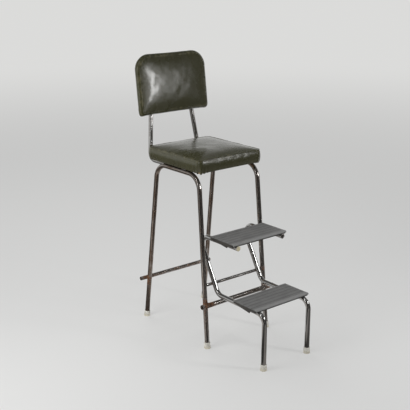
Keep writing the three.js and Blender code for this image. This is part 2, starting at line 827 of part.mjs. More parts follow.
const treads = [
  { label: 'upper', frontY: upperTreadFrontY, depth: upperTreadDepth, runHeight: upperRunHeight },
  { label: 'lower', frontY: lowerTreadFrontY, depth: lowerTreadDepth, runHeight: lowerRunHeight },
];
for (const { label, frontY, depth, runHeight } of treads) {
  chair.add(treadPan(`${label}_tread_pan`, frontY, depth, runHeight));
  chair.add(treadMat(`${label}_tread_mat`, frontY, depth, runHeight));
}

// The plug in the front end of the left step tube
function tubePlug(name, side) {
  const stemRadius = (tubeRadius - tubeWall) * Math.cos(Math.PI / boreSides) - contactGap;
  const profile = [
    new THREE.Vector2(0, -plugDepth),
    new THREE.Vector2(stemRadius, -plugDepth),
    new THREE.Vector2(stemRadius, 0),
    new THREE.Vector2(tubeRadius, 0),
    new THREE.Vector2(tubeRadius, plugHead / 2),
    new THREE.Vector2(stemRadius, plugHead),
    new THREE.Vector2(0, plugHead),
  ];
  const plug = makeMesh(name, new THREE.LatheGeometry(profile, tubeSides), plugCream);
  plug.rotation.x = Math.PI;
  plug.position.set(side * stepTubeSpacing / 2, upperRunFrontY, upperRunHeight);
  return plug;
}

const [leftLabel, leftSide] = sides[0];
chair.add(tubePlug(`${leftLabel}_tube_plug`, leftSide));

// Put the origin on the floor, in the middle of the footprint
chair.updateMatrixWorld(true);
const bounds = new THREE.Box3().setFromObject(chair, true);
chair.position.y = -(bounds.min.y + bounds.max.y) / 2;

export default chair;
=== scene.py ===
"""Finished pieces for the padded step stool chair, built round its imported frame. Metres, +Z up."""

import math

import bmesh
import bpy
import numpy as np
from bpy.props import FloatProperty, FloatVectorProperty, IntProperty, PointerProperty
from mathutils import Matrix, Quaternion, Vector


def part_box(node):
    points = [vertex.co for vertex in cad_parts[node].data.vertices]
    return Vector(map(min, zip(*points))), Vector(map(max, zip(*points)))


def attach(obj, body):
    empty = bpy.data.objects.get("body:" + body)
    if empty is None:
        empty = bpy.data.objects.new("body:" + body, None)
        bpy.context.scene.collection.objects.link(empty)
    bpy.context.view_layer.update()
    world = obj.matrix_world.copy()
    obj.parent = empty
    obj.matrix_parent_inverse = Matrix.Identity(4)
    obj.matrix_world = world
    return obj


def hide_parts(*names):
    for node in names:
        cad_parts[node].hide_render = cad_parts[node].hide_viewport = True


bl_info = {
    "name": "Padded step stool chair",
    "version": (1, 0, 0),
    "blender": (4, 5, 0),
    "location": "View3D > Sidebar > Step stool",
    "description": "Builds the finished pieces of a padded step stool chair and a plain studio",
    "category": "Object",
}

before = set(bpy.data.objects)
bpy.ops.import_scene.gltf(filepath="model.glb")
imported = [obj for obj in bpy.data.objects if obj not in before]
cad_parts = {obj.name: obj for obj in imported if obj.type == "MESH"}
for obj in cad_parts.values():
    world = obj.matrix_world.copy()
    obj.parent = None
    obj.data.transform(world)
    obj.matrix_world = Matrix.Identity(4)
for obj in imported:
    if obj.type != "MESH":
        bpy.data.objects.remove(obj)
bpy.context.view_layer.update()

X_AXIS = Vector((1, 0, 0))
Y_AXIS = Vector((0, 1, 0))
Z_AXIS = Vector((0, 0, 1))
SIDES = (("left", -1), ("right", 1))
CORNERS = ((-1, -1), (1, -1), (1, 1), (-1, 1))


def middle(node):
    low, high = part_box(node)
    return (low + high) / 2


def size(node):
    low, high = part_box(node)
    return high - low


# Places that the pieces share. The strap gives the distance from the front feet to the origin.
FRONT_STRAP_Y = 0.150
FEET_Y = middle("front_seat_strap").y - FRONT_STRAP_Y
TUBE_DIAMETER = 0.01905
RAIL_HEIGHT = 0.6865
FOOT_SPACING = 0.316
RAIL_SPACING = 0.2976
FOOT_DEPTH = 0.4085
FRONT_RAKE = 0.063
REAR_RAKE = 0.082
TUBE_END_HEIGHT = 0.005
POST_RUN_X = 0.127
POST_CORNER_Y = 0.4045
POST_BACK_X = 0.0905
POST_FRONT_Y = 0.136
BACK_HEIGHT_UP = 0.9865
BACK_LEAN = math.radians(7.1)
BACK_PANEL_THICKNESS = 0.003
DIAGONAL_ANGLE = math.radians(60.7)
UPPER_RUN_HEIGHT = 0.440
LOWER_RUN_HEIGHT = 0.220
FIT = 0.0003

# How finely tubes and cords are cut, and how the seat cover gathers
STRAIGHT_STEP = 0.012
BEND_STEP = math.radians(5)
CORD_SIDES = 10
SEAT_PLEAT_PITCH = 0.0165


def leg_half_spacing(height):
    return (FOOT_SPACING + (RAIL_SPACING - FOOT_SPACING) * height / RAIL_HEIGHT) / 2


def front_leg_y(height):
    return FEET_Y + FRONT_RAKE * height / RAIL_HEIGHT


def rear_leg_y(height):
    return FEET_Y + FOOT_DEPTH - REAR_RAKE * height / RAIL_HEIGHT


def post_half_spacing(height):
    climb = (height - RAIL_HEIGHT) / (BACK_HEIGHT_UP - RAIL_HEIGHT)
    return POST_RUN_X + (POST_BACK_X - POST_RUN_X) * climb


def post_y(height):
    return FEET_Y + POST_CORNER_Y + (height - RAIL_HEIGHT) * math.tan(BACK_LEAN)


# Sizes and colours that a user would change


def length_of(name, description, default):
    return FloatProperty(name=name, description=description, default=default, unit="LENGTH")


def colour_of(name, description, default):
    return FloatVectorProperty(name=name, description=description, default=default, subtype="COLOR")


def power_of(name, description, default):
    return FloatProperty(name=name, description=description, default=default, unit="POWER")


def strength_of(name, description, default):
    return FloatProperty(name=name, description=description, default=default)


class StoolTubes(bpy.types.PropertyGroup):
    diameter: length_of("Tube", "Outside diameter of the bent tubes", TUBE_DIAMETER)
    wall: length_of("Wall", "Thickness of the tube walls", 0.0015)
    rear_bar: length_of("Rear bar", "Diameter of the rear crossbar", size("rear_crossbar").z)
    rod: length_of("Pivot rod", "Diameter of the rod that the steps swing on", size("step_pivot_rod").z)
    frame_bend: length_of("Frame bend", "Bend radius of the side frames", 0.0635)
    post_bend: length_of("Post bend", "Bend radius of the back posts", 0.038)
    step_bend: length_of("Step bend", "Bend radius of the step tubes", 0.038)
    sides: IntProperty(name="Sides", description="Faces round each tube", default=32)
    bright: colour_of("Bright plating", "Colour of clean chrome plating", (0.52, 0.52, 0.515))
    # The brown of this colour is partly a painted reflection of tan surroundings, most of all on the
    # rear legs.
    dull: colour_of("Dull plating", "Colour of tarnished plating", (0.190, 0.140, 0.108))
    rust: colour_of("Rust", "Colour of fresh rust", (0.21, 0.098, 0.045))
    old_rust: colour_of("Old rust", "Colour of old dark rust", (0.060, 0.033, 0.021))


class StoolPadding(bpy.types.PropertyGroup):
    seat_width: length_of("Seat width", "Across the seat cover", size("seat_cushion").x)
    seat_depth: length_of("Seat depth", "Front to rear of the seat cover", size("seat_cushion").y)
    seat_edge: length_of("Seat edge", "Height of the top seam above the board's underside", 0.049)
    seat_crown: length_of("Seat crown", "Rise from the top seam to the middle", 0.017)
    back_width: length_of("Back width", "Across the padded back", size("backrest_cushion").x)
    back_height: length_of("Back height", "Height of the padded back along its lean", 0.243)
    back_edge: length_of("Back edge", "Depth from the rear rim to the front seam", 0.021)
    back_crown: length_of("Back crown", "Rise from the front seam to the middle", 0.011)
    pressure: strength_of("Air pressure", "How hard the covers are blown up", 4.0)
    piping: length_of("Piping", "Diameter of the sewn edge", 0.0030)
    stitch_pitch: length_of("Stitch pitch", "From one stitch to the next", 0.0045)
    stitch_length: length_of("Stitch", "Length of one stitch", 0.003)
    cover: colour_of("Cover", "Colour of the leathercloth", (0.043, 0.042, 0.017))
    # The worn colour also stands for painted highlights along the seams and sewn edges.
    worn: colour_of("Worn cover", "Colour of rubbed leathercloth", (0.15, 0.135, 0.075))


class StoolTreads(bpy.types.PropertyGroup):
    rib_pitch: length_of("Rib pitch", "From one rib of a mat to the next", 0.0054)
    rib_depth: length_of("Rib depth", "Depth of the grooves", 0.001)
    thickness: length_of("Mat", "Thickness of a tread mat", 0.003)
    rubber: colour_of("Mat rubber", "Colour of the tread mats", (0.180, 0.180, 0.176))
    # Groove colour: grime and painted shade, laid in the grooves, under the mat's nose and on its end
    # and underside.
    groove: colour_of("Groove dirt", "Colour down in the grooves", (0.042, 0.040, 0.037))
    paint: colour_of("Tray paint", "Colour of the painted trays", (0.028, 0.026, 0.024))


class StoolFittings(bpy.types.PropertyGroup):
    tip_diameter: length_of("Tip", "Widest diameter of the rubber tips", 0.026)
    tip_height: length_of("Tip height", "Height of the rubber tips", 0.024)
    tip_rubber: colour_of("Tip rubber", "Colour of the tips", (0.76, 0.74, 0.67))
    plug_plastic: colour_of("Plug", "Colour of the tube plug", (0.62, 0.56, 0.38))
    steel: colour_of("Plain steel", "Colour of the straps and screws", (0.42, 0.41, 0.39))
    wood: colour_of("Plywood", "Colour of the boards", (0.42, 0.27, 0.13))


class StoolStudio(bpy.types.PropertyGroup):
    backdrop: colour_of("Backdrop", "Colour of the floor and backdrop", (0.71, 0.71, 0.70))
    key: power_of("Key lamp", "Power of the large lamp on the left", 12.5)
    top: power_of("Top lamp", "Power of the lamp above and behind", 24.0)
    window: power_of("Window lamps", "Power of the tall lamp in front. The one beside it follows", 8.0)
    strip: power_of("Strip lamp", "Power of the upright lamp on the left. The ceiling lamp follows", 2.4)
    ambient: strength_of("Ambient", "Strength of the light from all round", 0.42)


# Mesh helpers


def make_mesh(name, points, faces, values=None, sharp=None):
    """A smooth mesh with named values at its points. Edges sharper than the angle stay crisp."""
    mesh = bpy.data.meshes.new(name)
    mesh.from_pydata([tuple(map(float, p)) for p in points], [], [tuple(map(int, f)) for f in faces])
    for key, data in (values or {}).items():
        data = np.asarray(data, np.float32)
        kind, slot = ("FLOAT_VECTOR", "vector") if data.ndim == 2 else ("FLOAT", "value")
        mesh.attributes.new(key, kind, "POINT").data.foreach_set(slot, data.ravel())
    mesh.shade_smooth()
    if sharp is not None:
        mesh.set_sharp_from_angle(angle=math.radians(sharp))
    mesh.update()
    return mesh


def add_piece(name, mesh, material, body, slot, *replaced):
    """Puts a finished mesh on its body, with its finish and the CAD nodes that it stands for."""
    piece = bpy.data.objects.new(name, mesh)
    bpy.context.scene.collection.objects.link(piece)
    mesh.materials.append(material)
    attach(piece, body)
    if replaced:
        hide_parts(*replaced)
    return piece


def skin(ring_count, sides, closed_path=False, caps=True):
    """Faces over rings of equal point counts. The caps' middle points follow the rings."""
    faces = []
    last = ring_count if closed_path else ring_count - 1
    for ring in range(last):
        here, there = ring * sides, (ring + 1) % ring_count * sides
        for i in range(sides):
            j = (i + 1) % sides
            faces.append((here + i, here + j, there + j, there + i))
    if caps and not closed_path:
        start = ring_count * sides
        top = (ring_count - 1) * sides
        for i in range(sides):
            j = (i + 1) % sides
            faces.append((start, j, i))
            faces.append((start + 1, top + i, top + j))
    return faces


def turned(profile, sides, matrix=None):
    """A shape turned about Z, from (radius, height) pairs that begin and end on the axis."""
    angles = np.arange(sides) * 2 * math.pi / sides
    inner = profile[1:-1]
    points = [(r * math.cos(a), r * math.sin(a), z) for r, z in inner for a in angles]
    points += [(0, 0, profile[0][1]), (0, 0, profile[-1][1])]
    if matrix is not None:
        points = [matrix @ Vector(p) for p in points]
    return points, skin(len(inner), sides)


def bent_path(corners, bend_radius):
    """Points and headings along straight runs and round the bends at the corners."""
    stations = []

    def run(start, end):
        heading = (end - start).normalized()
        steps = max(1, math.ceil((end - start).length / STRAIGHT_STEP))
        for i in range(1 if stations else 0, steps + 1):
            stations.append((start.lerp(end, i / steps), heading))

    start = corners[0]
    for before, corner, after in zip(corners, corners[1:], corners[2:]):
        arriving = (corner - before).normalized()
        leaving = (after - corner).normalized()
        turn = arriving.angle(leaving)
        axis = arriving.cross(leaving).normalized()
        bend_start = corner - arriving * bend_radius * math.tan(turn / 2)
        run(start, bend_start)
        centre = bend_start + axis.cross(arriving) * bend_radius
        steps = max(1, math.ceil(turn / BEND_STEP))
        for i in range(1, steps + 1):
            spin = Quaternion(axis, turn * i / steps)
            stations.append((centre + spin @ (bend_start - centre), spin @ arriving))
        start = stations[-1][0]
    run(start, corners[-1])
    return stations


def open_end(radius, wall, depth):
    """Rings from the bottom of the bore out over the rim, as (distance in from the end, radius)."""
    bore = radius - wall
    round_off = wall / 4
    return [(depth, bore), (round_off, bore), (0, bore + round_off), (0, radius - round_off),
            (round_off, radius)]


def closed_end(radius, round_off=0.0005):
    """Rings of a closed end with a small round, given as open_end gives them."""
    return [(0, radius - round_off), (round_off, radius)]


def near(points, spots):
    """How close each point is to a spot, from 0 at its radius to its strength at its middle."""
    value = np.zeros(len(points))
    for place, radius, strength in spots:
        distance = np.linalg.norm(points - np.array(place), axis=1)
        value = np.maximum(value, strength * np.clip(1 - distance / radius, 0, 1))
    return value


def tube_mesh(name, stations, reference, radius, sides, ends, tarnish, spots):
    """A tube along stations, with a list of rings at each end. Its values guide the plating."""
    first, last = ends
    start, start_heading = stations[0]
    stop, stop_heading = stations[-1]
    rings = [(start + start_heading * way, start_heading, ring_radius, way)
             for way, ring_radius in first]
    travelled = 0
    for i, (point, heading) in enumerate(stations):
        if i:
            travelled += (point - stations[i - 1][0]).length
        if 0 < i < len(stations) - 1:
            rings.append((point, heading, radius, travelled))
    for back, ring_radius in reversed(last):
        rings.append((stop - stop_heading * back, stop_heading, ring_radius, travelled - back))
    points, along = [], []
    for centre, heading, ring_radius, way in rings:
        across = (reference - heading * reference.dot(heading)).normalized()
        up = heading.cross(across)
        for i in range(sides):
            angle = 2 * math.pi * i / sides
            c, s = math.cos(angle) * ring_radius, math.sin(angle) * ring_radius
            points.append(centre + across * c + up * s)
            along.append((c, s, way))
    for centre, _, _, way in (rings[0], rings[-1]):
        points.append(centre)
        along.append((0, 0, way))
    points = np.array(points)
    tarnished = tarnish(points) if callable(tarnish) else np.full(len(points), tarnish)
    values = {"along": along, "tarnish": tarnished, "rust": near(points, spots)}
    return make_mesh(name, points, skin(len(rings), sides), values, sharp=50)


def add_tube(scene, name, stations, reference, radius, ends, tarnish, spots, body, node):
    """A plated tube that stands for a CAD node. tarnish is a level, or gives one for each point."""
    mesh = tube_mesh(name, stations, reference, radius, scene.stool_tubes.sides, ends, tarnish, spots)
    add_piece(name, mesh, chrome(scene), body, "chrome_tube", node)


def loop_tube(points, normal, radii, sides):
    """A round cord along a closed loop of points. The normal keeps its section from twisting."""
    count = len(points)
    rings = []
    for i in range(count):
        heading = (points[(i + 1) % count] - points[i - 1]).normalized()
        across = normal[i] - heading * normal[i].dot(heading)
        across.normalize()
        up = heading.cross(across)
        for k in range(sides):
            angle = 2 * math.pi * k / sides
            rings.append(points[i] + (across * math.cos(angle) + up * math.sin(angle)) * radii[i])
    return rings, skin(count, sides, closed_path=True)


def capsules(places, length, radius, sides=8):
    """Short round-ended bars at (middle, direction) places, in one list of points and faces."""
    half = length / 2
    rise = [(0, half), (radius * 0.7, half - radius * 0.3), (radius, half - radius)]
    profile = [(r, -z) for r, z in rise] + rise[::-1]
    points, faces = [], []
    for place, direction in places:
        turn = direction.to_track_quat("Z", "Y").to_matrix().to_4x4()
        p, f = turned(profile, sides, Matrix.Translation(place) @ turn)
        faces += [tuple(i + len(points) for i in face) for face in f]
        points += p
    return points, faces


# Node helpers


class NodeBench:
    """Adds nodes to a tree and joins them up."""

    def __init__(self, tree):
        self.tree = tree

    def put(self, socket, value):
        """Joins a socket to another, or sets its number, or its colour with or without alpha."""
        if isinstance(value, bpy.types.NodeSocket):
            self.tree.links.new(value, socket)
        elif hasattr(value, "__len__"):
            value = tuple(value)
            socket.default_value = value if len(value) == len(socket.default_value) else (*value, 1)
        else:
            socket.default_value = value

    def add(self, kind, inputs=None, **settings):
        node = self.tree.nodes.new("ShaderNode" + kind)
        for key, value in settings.items():
            setattr(node, key, value)
        for key, value in (inputs or {}).items():
            self.put(node.inputs[key], value)
        return node

    def sum(self, operation, first, second, clamp=False):
        return self.add("Math", {0: first, 1: second}, operation=operation, use_clamp=clamp).outputs[0]

    def times(self, first, second, clamp=False):
        return self.sum("MULTIPLY", first, second, clamp)

    def swing(self, value, height):
        """A 0 to 1 value made to swing about 0."""
        return self.times(self.sum("SUBTRACT", value, 0.5), height)

    def remap(self, value, low, high, new_low=0.0, new_high=1.0):
        inputs = {"Value": value, "From Min": low, "From Max": high, "To Min": new_low,
                  "To Max": new_high}
        return self.add("MapRange", inputs, interpolation_type="SMOOTHSTEP").outputs["Result"]

    def noise(self, where, scale, detail=3.0, roughness=0.5, distortion=0.0):
        inputs = {"Vector": where, "Scale": scale, "Detail": detail, "Roughness": roughness,
                  "Distortion": distortion}
        return self.add("TexNoise", inputs).outputs["Fac"]

    def stretch(self, where, scale):
        return self.add("VectorMath", {0: where, 1: scale}, operation="MULTIPLY").outputs[0]

    def blend(self, share, first, second):
        return self.add("Mix", {0: share, 6: first, 7: second}, data_type="RGBA").outputs[2]

    def value_at_points(self, name, vector=False):
        node = self.add("Attribute", attribute_name=name)
        return node.outputs["Vector" if vector else "Fac"]

    def own_place(self):
        return self.add("TexCoord").outputs["Object"]


def node_group(name, inputs, outputs, build):
    """A shader node group with named sockets, filled in by build."""
    if name in bpy.data.node_groups:
        return bpy.data.node_groups[name]
    group = bpy.data.node_groups.new(name, "ShaderNodeTree")
    kinds = {"float": "NodeSocketFloat", "vector": "NodeSocketVector", "color": "NodeSocketColor"}
    for label, kind, default in inputs:
        socket = group.interface.new_socket(name=label, in_out="INPUT", socket_type=kinds[kind])
        if default is not None:
            socket.default_value = default
    for label, kind in outputs:
        group.interface.new_socket(name=label, in_out="OUTPUT", socket_type=kinds[kind])
    ins = group.nodes.new("NodeGroupInput")
    outs = group.nodes.new("NodeGroupOutput")
    bench = NodeBench(group)
    for label, socket in build(bench, ins.outputs).items():
        group.links.new(socket, outs.inputs[label])
    return group


def dust_group():
    """Dust and rubbed patches, in a coarse and a fine size."""
    def build(bench, ins):
        patches = bench.remap(bench.noise(ins["Place"], ins["Patch Scale"], 4.0, 0.6), 0.42, 0.68)
        flecks = bench.remap(bench.noise(ins["Place"], ins["Fleck Scale"], 2.0, 0.6), 0.60, 0.72)
        return {"Mask": bench.times(bench.sum("MAXIMUM", patches, flecks), ins["Amount"], clamp=True)}
    inputs = [("Place", "vector", None), ("Patch Scale", "float", 12.0), ("Fleck Scale", "float", 260.0),
              ("Amount", "float", 0.5)]
    return node_group("Dust and rubbing", inputs, [("Mask", "float")], build)


def rust_group():
    """Rust that breaks out in blisters and specks where the plating has gone."""
    def build(bench, ins):
        place, amount = ins["Place"], ins["Amount"]
        reach = bench.sum("ADD", amount, bench.swing(bench.noise(place, 55.0, 6.0, 0.68), 1.5))
        specks = bench.sum("ADD", bench.noise(place, 420.0, 3.0, 0.6), bench.times(amount, 0.25))
        spread, dotted = bench.remap(reach, 0.38, 0.62), bench.remap(specks, 0.66, 0.74)
        mask = bench.sum("MAXIMUM", spread, bench.times(dotted, 0.8), clamp=True)
        age = bench.remap(bench.noise(place, 130.0, 4.0, 0.6), 0.38, 0.62)
        return {"Mask": mask, "Colour": bench.blend(age, ins["Fresh"], ins["Old"]),
                "Height": bench.times(mask, bench.noise(place, 700.0, 3.0, 0.6))}
    inputs = [("Place", "vector", None), ("Amount", "float", 0.0),
              ("Fresh", "color", (0.21, 0.098, 0.045, 1)), ("Old", "color", (0.060, 0.033, 0.021, 1))]
    outputs = [("Mask", "float"), ("Colour", "color"), ("Height", "float")]
    return node_group("Rust", inputs, outputs, build)


def grain_group():
    """Fine leathercloth grain: small pebbles over soft unevenness."""
    def build(bench, ins):
        cells = bench.add("TexVoronoi", {"Vector": ins["Place"], "Scale": ins["Scale"]},
                          feature="DISTANCE_TO_EDGE").outputs["Distance"]
        uneven = bench.noise(ins["Place"], 60.0, 3.0, 0.5)
        return {"Height": bench.sum("ADD", bench.times(bench.remap(cells, 0.0, 0.35), 0.55),
                                    bench.times(uneven, 0.2))}
    inputs = [("Place", "vector", None), ("Scale", "float", 900.0)]
    return node_group("Leathercloth grain", inputs, [("Height", "float")], build)


def new_material(name):
    material = bpy.data.materials.new(name)
    material.use_nodes = True
    tree = material.node_tree
    tree.nodes.clear()
    bench = NodeBench(tree)
    shader = bench.add("BsdfPrincipled")
    output = bench.add("OutputMaterial")
    tree.links.new(shader.outputs[0], output.inputs[0])
    return material, bench, shader


def place_group(bench, group, inputs):
    node = bench.tree.nodes.new("ShaderNodeGroup")
    node.node_tree = group
    for key, value in inputs.items():
        bench.put(node.inputs[key], value)
    return node.outputs


def place_dust(bench, place, patch_scale, fleck_scale, amount):
    inputs = {"Place": place, "Patch Scale": patch_scale, "Fleck Scale": fleck_scale, "Amount": amount}
    return place_group(bench, dust_group(), inputs)["Mask"]


def place_rust(bench, place, amount, tubes):
    inputs = {"Place": place, "Amount": amount, "Fresh": tubes.rust, "Old": tubes.old_rust}
    return place_group(bench, rust_group(), inputs)


def shade(colour, factor):
    return tuple(min(1.0, c * factor) for c in colour)


def surface(bench, shader, colour, roughness, metallic=None):
    bench.put(shader.inputs["Base Color"], colour)
    bench.put(shader.inputs["Roughness"], roughness)
    if metallic is not None:
        bench.put(shader.inputs["Metallic"], metallic)


def bump(bench, shader, height, strength, distance):
    node = bench.add("Bump", {"Height": height, "Strength": strength, "Distance": distance})
    bench.put(shader.inputs["Normal"], node.outputs[0])


def plated_steel(tubes):
    """Old chrome plating: streaked along its length with tarnish and painted reflection lines, dulled in
    places, and rusty where its values say so.
    """
    material, bench, shader = new_material("old_chrome")
    place = bench.value_at_points("along", vector=True)
    # Lines along each tube, darker and lighter: tarnish, and painted reflection lines.
    streaks_and_reflections = bench.noise(bench.stretch(place, (220.0, 220.0, 14.0)), 1.0, 4.0, 0.6)
    smudges = bench.noise(place, 38.0, 5.0, 0.6)
    dull = bench.sum("ADD", bench.value_at_points("tarnish"), bench.swing(streaks_and_reflections, 0.9))
    dull = bench.remap(bench.sum("ADD", dull, bench.swing(smudges, 0.8)), 0.05, 0.95)
    rust = place_rust(bench, place, bench.value_at_points("rust"), tubes)
    worn = bench.sum("ADD", bench.times(dull, 0.16), bench.remap(smudges, 0.45, 0.75, 0.07, 0.2))
    surface(bench, shader,
            bench.blend(rust["Mask"], bench.blend(dull, tubes.bright, tubes.dull), rust["Colour"]),
            bench.sum("MAXIMUM", worn, bench.times(rust["Mask"], 0.82), clamp=True),
            bench.remap(rust["Mask"], 0.0, 1.0, 1.0, 0.05))
    bump(bench, shader, rust["Height"], strength=0.7, distance=0.0009)
    return material


def leathercloth(name, padding):
    """Glossy vinyl with fine grain, paler along its seams for rubbing and a painted highlight."""
    material, bench, shader = new_material(name)
    place = bench.own_place()
    grain = place_group(bench, grain_group(), {"Place": place, "Scale": 760.0})
    dusty = bench.times(place_dust(bench, place, patch_scale=9.0, fleck_scale=420.0, amount=0.12), 0.12)
    tone = bench.blend(bench.remap(bench.noise(place, 7.0), 0.3, 0.7), shade(padding.cover, 0.84),
                       padding.cover)
    uneven = bench.remap(bench.noise(place, 70.0), 0.40, 0.80)
    # Paler where the values say: rubbing, and a painted highlight along the seams.
    rubbed_and_sheen = bench.times(bench.value_at_points("wear"), uneven, clamp=True)
    surface(bench, shader,
            bench.blend(dusty, bench.blend(rubbed_and_sheen, tone, padding.worn), (0.11, 0.105, 0.075)),
            bench.remap(bench.noise(place, 16.0), 0.3, 0.7, 0.24, 0.30))
    shader.inputs["Coat Weight"].default_value = 0.5
    shader.inputs["Coat Roughness"].default_value = 0.14
    bump(bench, shader, grain["Height"], strength=0.22, distance=0.0005)
    return material


def tread_rubber(treads):
    """Grey ribbed rubber: darker in its grooves and under its nose, for grime and painted shade; paler
    where feet rub it and round its nose, for rubbing and a painted highlight.
    """
    material, bench, shader = new_material("ribbed_rubber")
    place = bench.own_place()
    pale = shade(treads.rubber, 1.5)
    mottle = bench.remap(bench.noise(place, 30.0, 5.0, 0.65), 0.35, 0.68)
    tone = bench.blend(bench.times(mottle, 0.45), treads.rubber, pale)
    # Paler for rubbing and a painted highlight, darker for grime and painted shade.
    for value, share, colour in (("wear", 0.75, pale), ("groove", 0.85, treads.groove)):
        tone = bench.blend(bench.times(bench.value_at_points(value), share, clamp=True), tone, colour)
    dusty = bench.times(place_dust(bench, place, patch_scale=22.0, fleck_scale=600.0, amount=0.6), 0.16)
    surface(bench, shader, bench.blend(dusty, tone, (0.27, 0.26, 0.24)),
            bench.remap(mottle, 0.0, 1.0, 0.55, 0.75))
    shader.inputs["Specular IOR Level"].default_value = 0.3
    bump(bench, shader, bench.noise(place, 1400.0, 2.0, 0.6), strength=0.25, distance=0.0004)
    return material


def tray_paint(treads, tubes):
    """Dark paint on sheet steel, dusty and chipped to rust in places."""
    material, bench, shader = new_material("tray_paint")
    place = bench.own_place()
    rust = place_rust(bench, place, 0.1, tubes)
    dust = place_dust(bench, place, patch_scale=18.0, fleck_scale=500.0, amount=0.5)
    tone = bench.blend(bench.times(dust, 0.4), treads.paint, (0.15, 0.14, 0.12))
    surface(bench, shader, bench.blend(rust["Mask"], tone, rust["Colour"]),
            bench.remap(dust, 0.0, 1.0, 0.42, 0.7))
    bump(bench, shader, bench.sum("ADD", rust["Height"], bench.noise(place, 900.0, 2.0)),
         strength=0.3, distance=0.0004)
    return material


def white_rubber(name, colour, dustiness):
    """Off-white moulding, scuffed, and yellowed near the floor."""
    material, bench, shader = new_material(name)
    place = bench.own_place()
    dust = place_dust(bench, place, patch_scale=60.0, fleck_scale=900.0, amount=dustiness)
    height = bench.add("SeparateXYZ", {0: place}).outputs["Z"]
    low = bench.remap(bench.sum("ADD", height, bench.times(bench.noise(place, 90.0), 0.012)),
                      0.004, 0.022, 1.0, 0.0)
    yellow = tuple(c * fade for c, fade in zip(colour, (0.80, 0.72, 0.50)))
    tone = bench.blend(bench.times(low, 0.6), colour, yellow)
    surface(bench, shader, bench.blend(dust, tone, (0.30, 0.27, 0.22)),
            bench.remap(dust, 0.0, 1.0, 0.45, 0.75))
    bump(bench, shader, bench.noise(place, 1100.0, 3.0, 0.6), strength=0.25, distance=0.0004)
    return material


def plain_steel(fittings, tubes):
    """Unplated steel for straps, screws and bolts."""
    material, bench, shader = new_material("dull_steel")
    place = bench.own_place()
    rust = place_rust(bench, place, 0.22, tubes)
    brushed = bench.noise(bench.stretch(place, (30.0, 900.0, 900.0)), 1.0, 3.0, 0.6)
    tone = bench.blend(brushed, shade(fittings.steel, 0.6), fittings.steel)
    surface(bench, shader, bench.blend(rust["Mask"], tone, rust["Colour"]),
            bench.remap(rust["Mask"], 0.0, 1.0, 0.32, 0.85),
            bench.remap(rust["Mask"], 0.0, 1.0, 1.0, 0.05))
    bump(bench, shader, bench.sum("ADD", rust["Height"], bench.times(brushed, 0.3)),
         strength=0.4, distance=0.0005)
    return material


def plywood(fittings):
    """Plain plywood with long grain."""
    material, bench, shader = new_material("grained_plywood")
    place = bench.own_place()
    grain = bench.noise(bench.stretch(place, (9.0, 150.0, 150.0)), 1.0, 5.0, 0.62, 0.6)
    layers = bench.noise(bench.stretch(place, (2.0, 2.0, 520.0)), 1.0, 1.0)
    tone = bench.blend(bench.remap(grain, 0.35, 0.65), shade(fittings.wood, 0.55), fittings.wood)
    surface(bench, shader,
            bench.blend(bench.remap(layers, 0.5, 0.6, 0.0, 0.4), tone, shade(fittings.wood, 1.25)),
            bench.remap(grain, 0.3, 0.7, 0.62, 0.85))
    bump(bench, shader, grain, strength=0.3, distance=0.0005)
    return material


def material_of(name, maker):
    """The material of this name, made on first use."""
    return bpy.data.materials.get(name) or maker()


def chrome(scene):
    return material_of("old_chrome", lambda: plated_steel(scene.stool_tubes))


def cover(scene, name="olive_leathercloth"):
    return material_of(name, lambda: leathercloth(name, scene.stool_padding))


def bare_steel(scene):
    return material_of("dull_steel", lambda: plain_steel(scene.stool_fittings, scene.stool_tubes))


def worn_places():
    """Where the plating has rusted, as (place, radius, strength)."""
    front, rear, rod = middle("front_crossbar"), middle("rear_crossbar"), middle("step_pivot_rod")
    front_x, rear_x, rod_x = (leg_half_spacing(bar.z) for bar in (front, rear, rod))
    step_x = middle("right_step_tube").x
    past_leg = 0.035
    spots = [
        ((-front_x, front.y, front.z), 0.058, 0.92),
        ((-front_x, front.y + 0.01, front.z - 0.050), 0.055, 0.55),
        ((front_x, front.y, front.z), 0.045, 0.75),
        ((-rear_x, rear.y, rear.z), 0.070, 0.8),
        ((rear_x, rear.y, rear.z), 0.050, 0.7),
        ((rod_x, rod.y, rod.z), 0.032, 0.9),
        ((-rod_x, rod.y, rod.z), 0.020, 0.55),
        ((step_x, rod.y, rod.z), 0.030, 0.6),
        ((-step_x, rod.y, rod.z), 0.026, 0.45),
    ]
    for bar, x in ((front, front_x), (rear, rear_x)):
        spots += [((side * (x + past_leg), bar.y, bar.z), 0.016, 0.7) for _, side in SIDES]
    spots += [((x, rear.y, rear.z), 0.060, 0.50) for x in (-0.13, -0.07, 0.0, 0.07, 0.13)]
    above_tip = 0.02
    for _, side in SIDES:
        for leg_y in (front_leg_y, rear_leg_y):
            place = (side * leg_half_spacing(above_tip), leg_y(above_tip), above_tip + 0.002)
            spots.append((place, 0.030, 0.45))
    return spots


# Pieces


class STOOL_OT_frames(bpy.types.Operator):
    """Builds the two bent side frames"""
    bl_idname = "stool.side_frames"
    bl_label = "Side frames"

    def execute(self, context):
        tubes = context.scene.stool_tubes
        radius = tubes.diameter / 2

        def tarnish(points):
            """Less tarnish towards the front legs; the duller, browner rear legs partly stand for a
            painted reflection of tan surroundings.
            """
            front_share = np.clip(1 - (points[:, 1] - FEET_Y) / 0.2, 0, 1)
            return 0.70 - 0.24 * front_share
        turns = ((front_leg_y, TUBE_END_HEIGHT), (front_leg_y, RAIL_HEIGHT), (rear_leg_y, RAIL_HEIGHT),
                 (rear_leg_y, TUBE_END_HEIGHT))
        for label, side in SIDES:
            corners = [Vector((side * leg_half_spacing(height), leg_y(height), height))
                       for leg_y, height in turns]
            add_tube(context.scene, f"{label}_bent_frame", bent_path(corners, tubes.frame_bend), X_AXIS,
                     radius, (closed_end(radius), closed_end(radius)), tarnish, worn_places(), "frame",
                     f"{label}_side_frame")
        return {"FINISHED"}


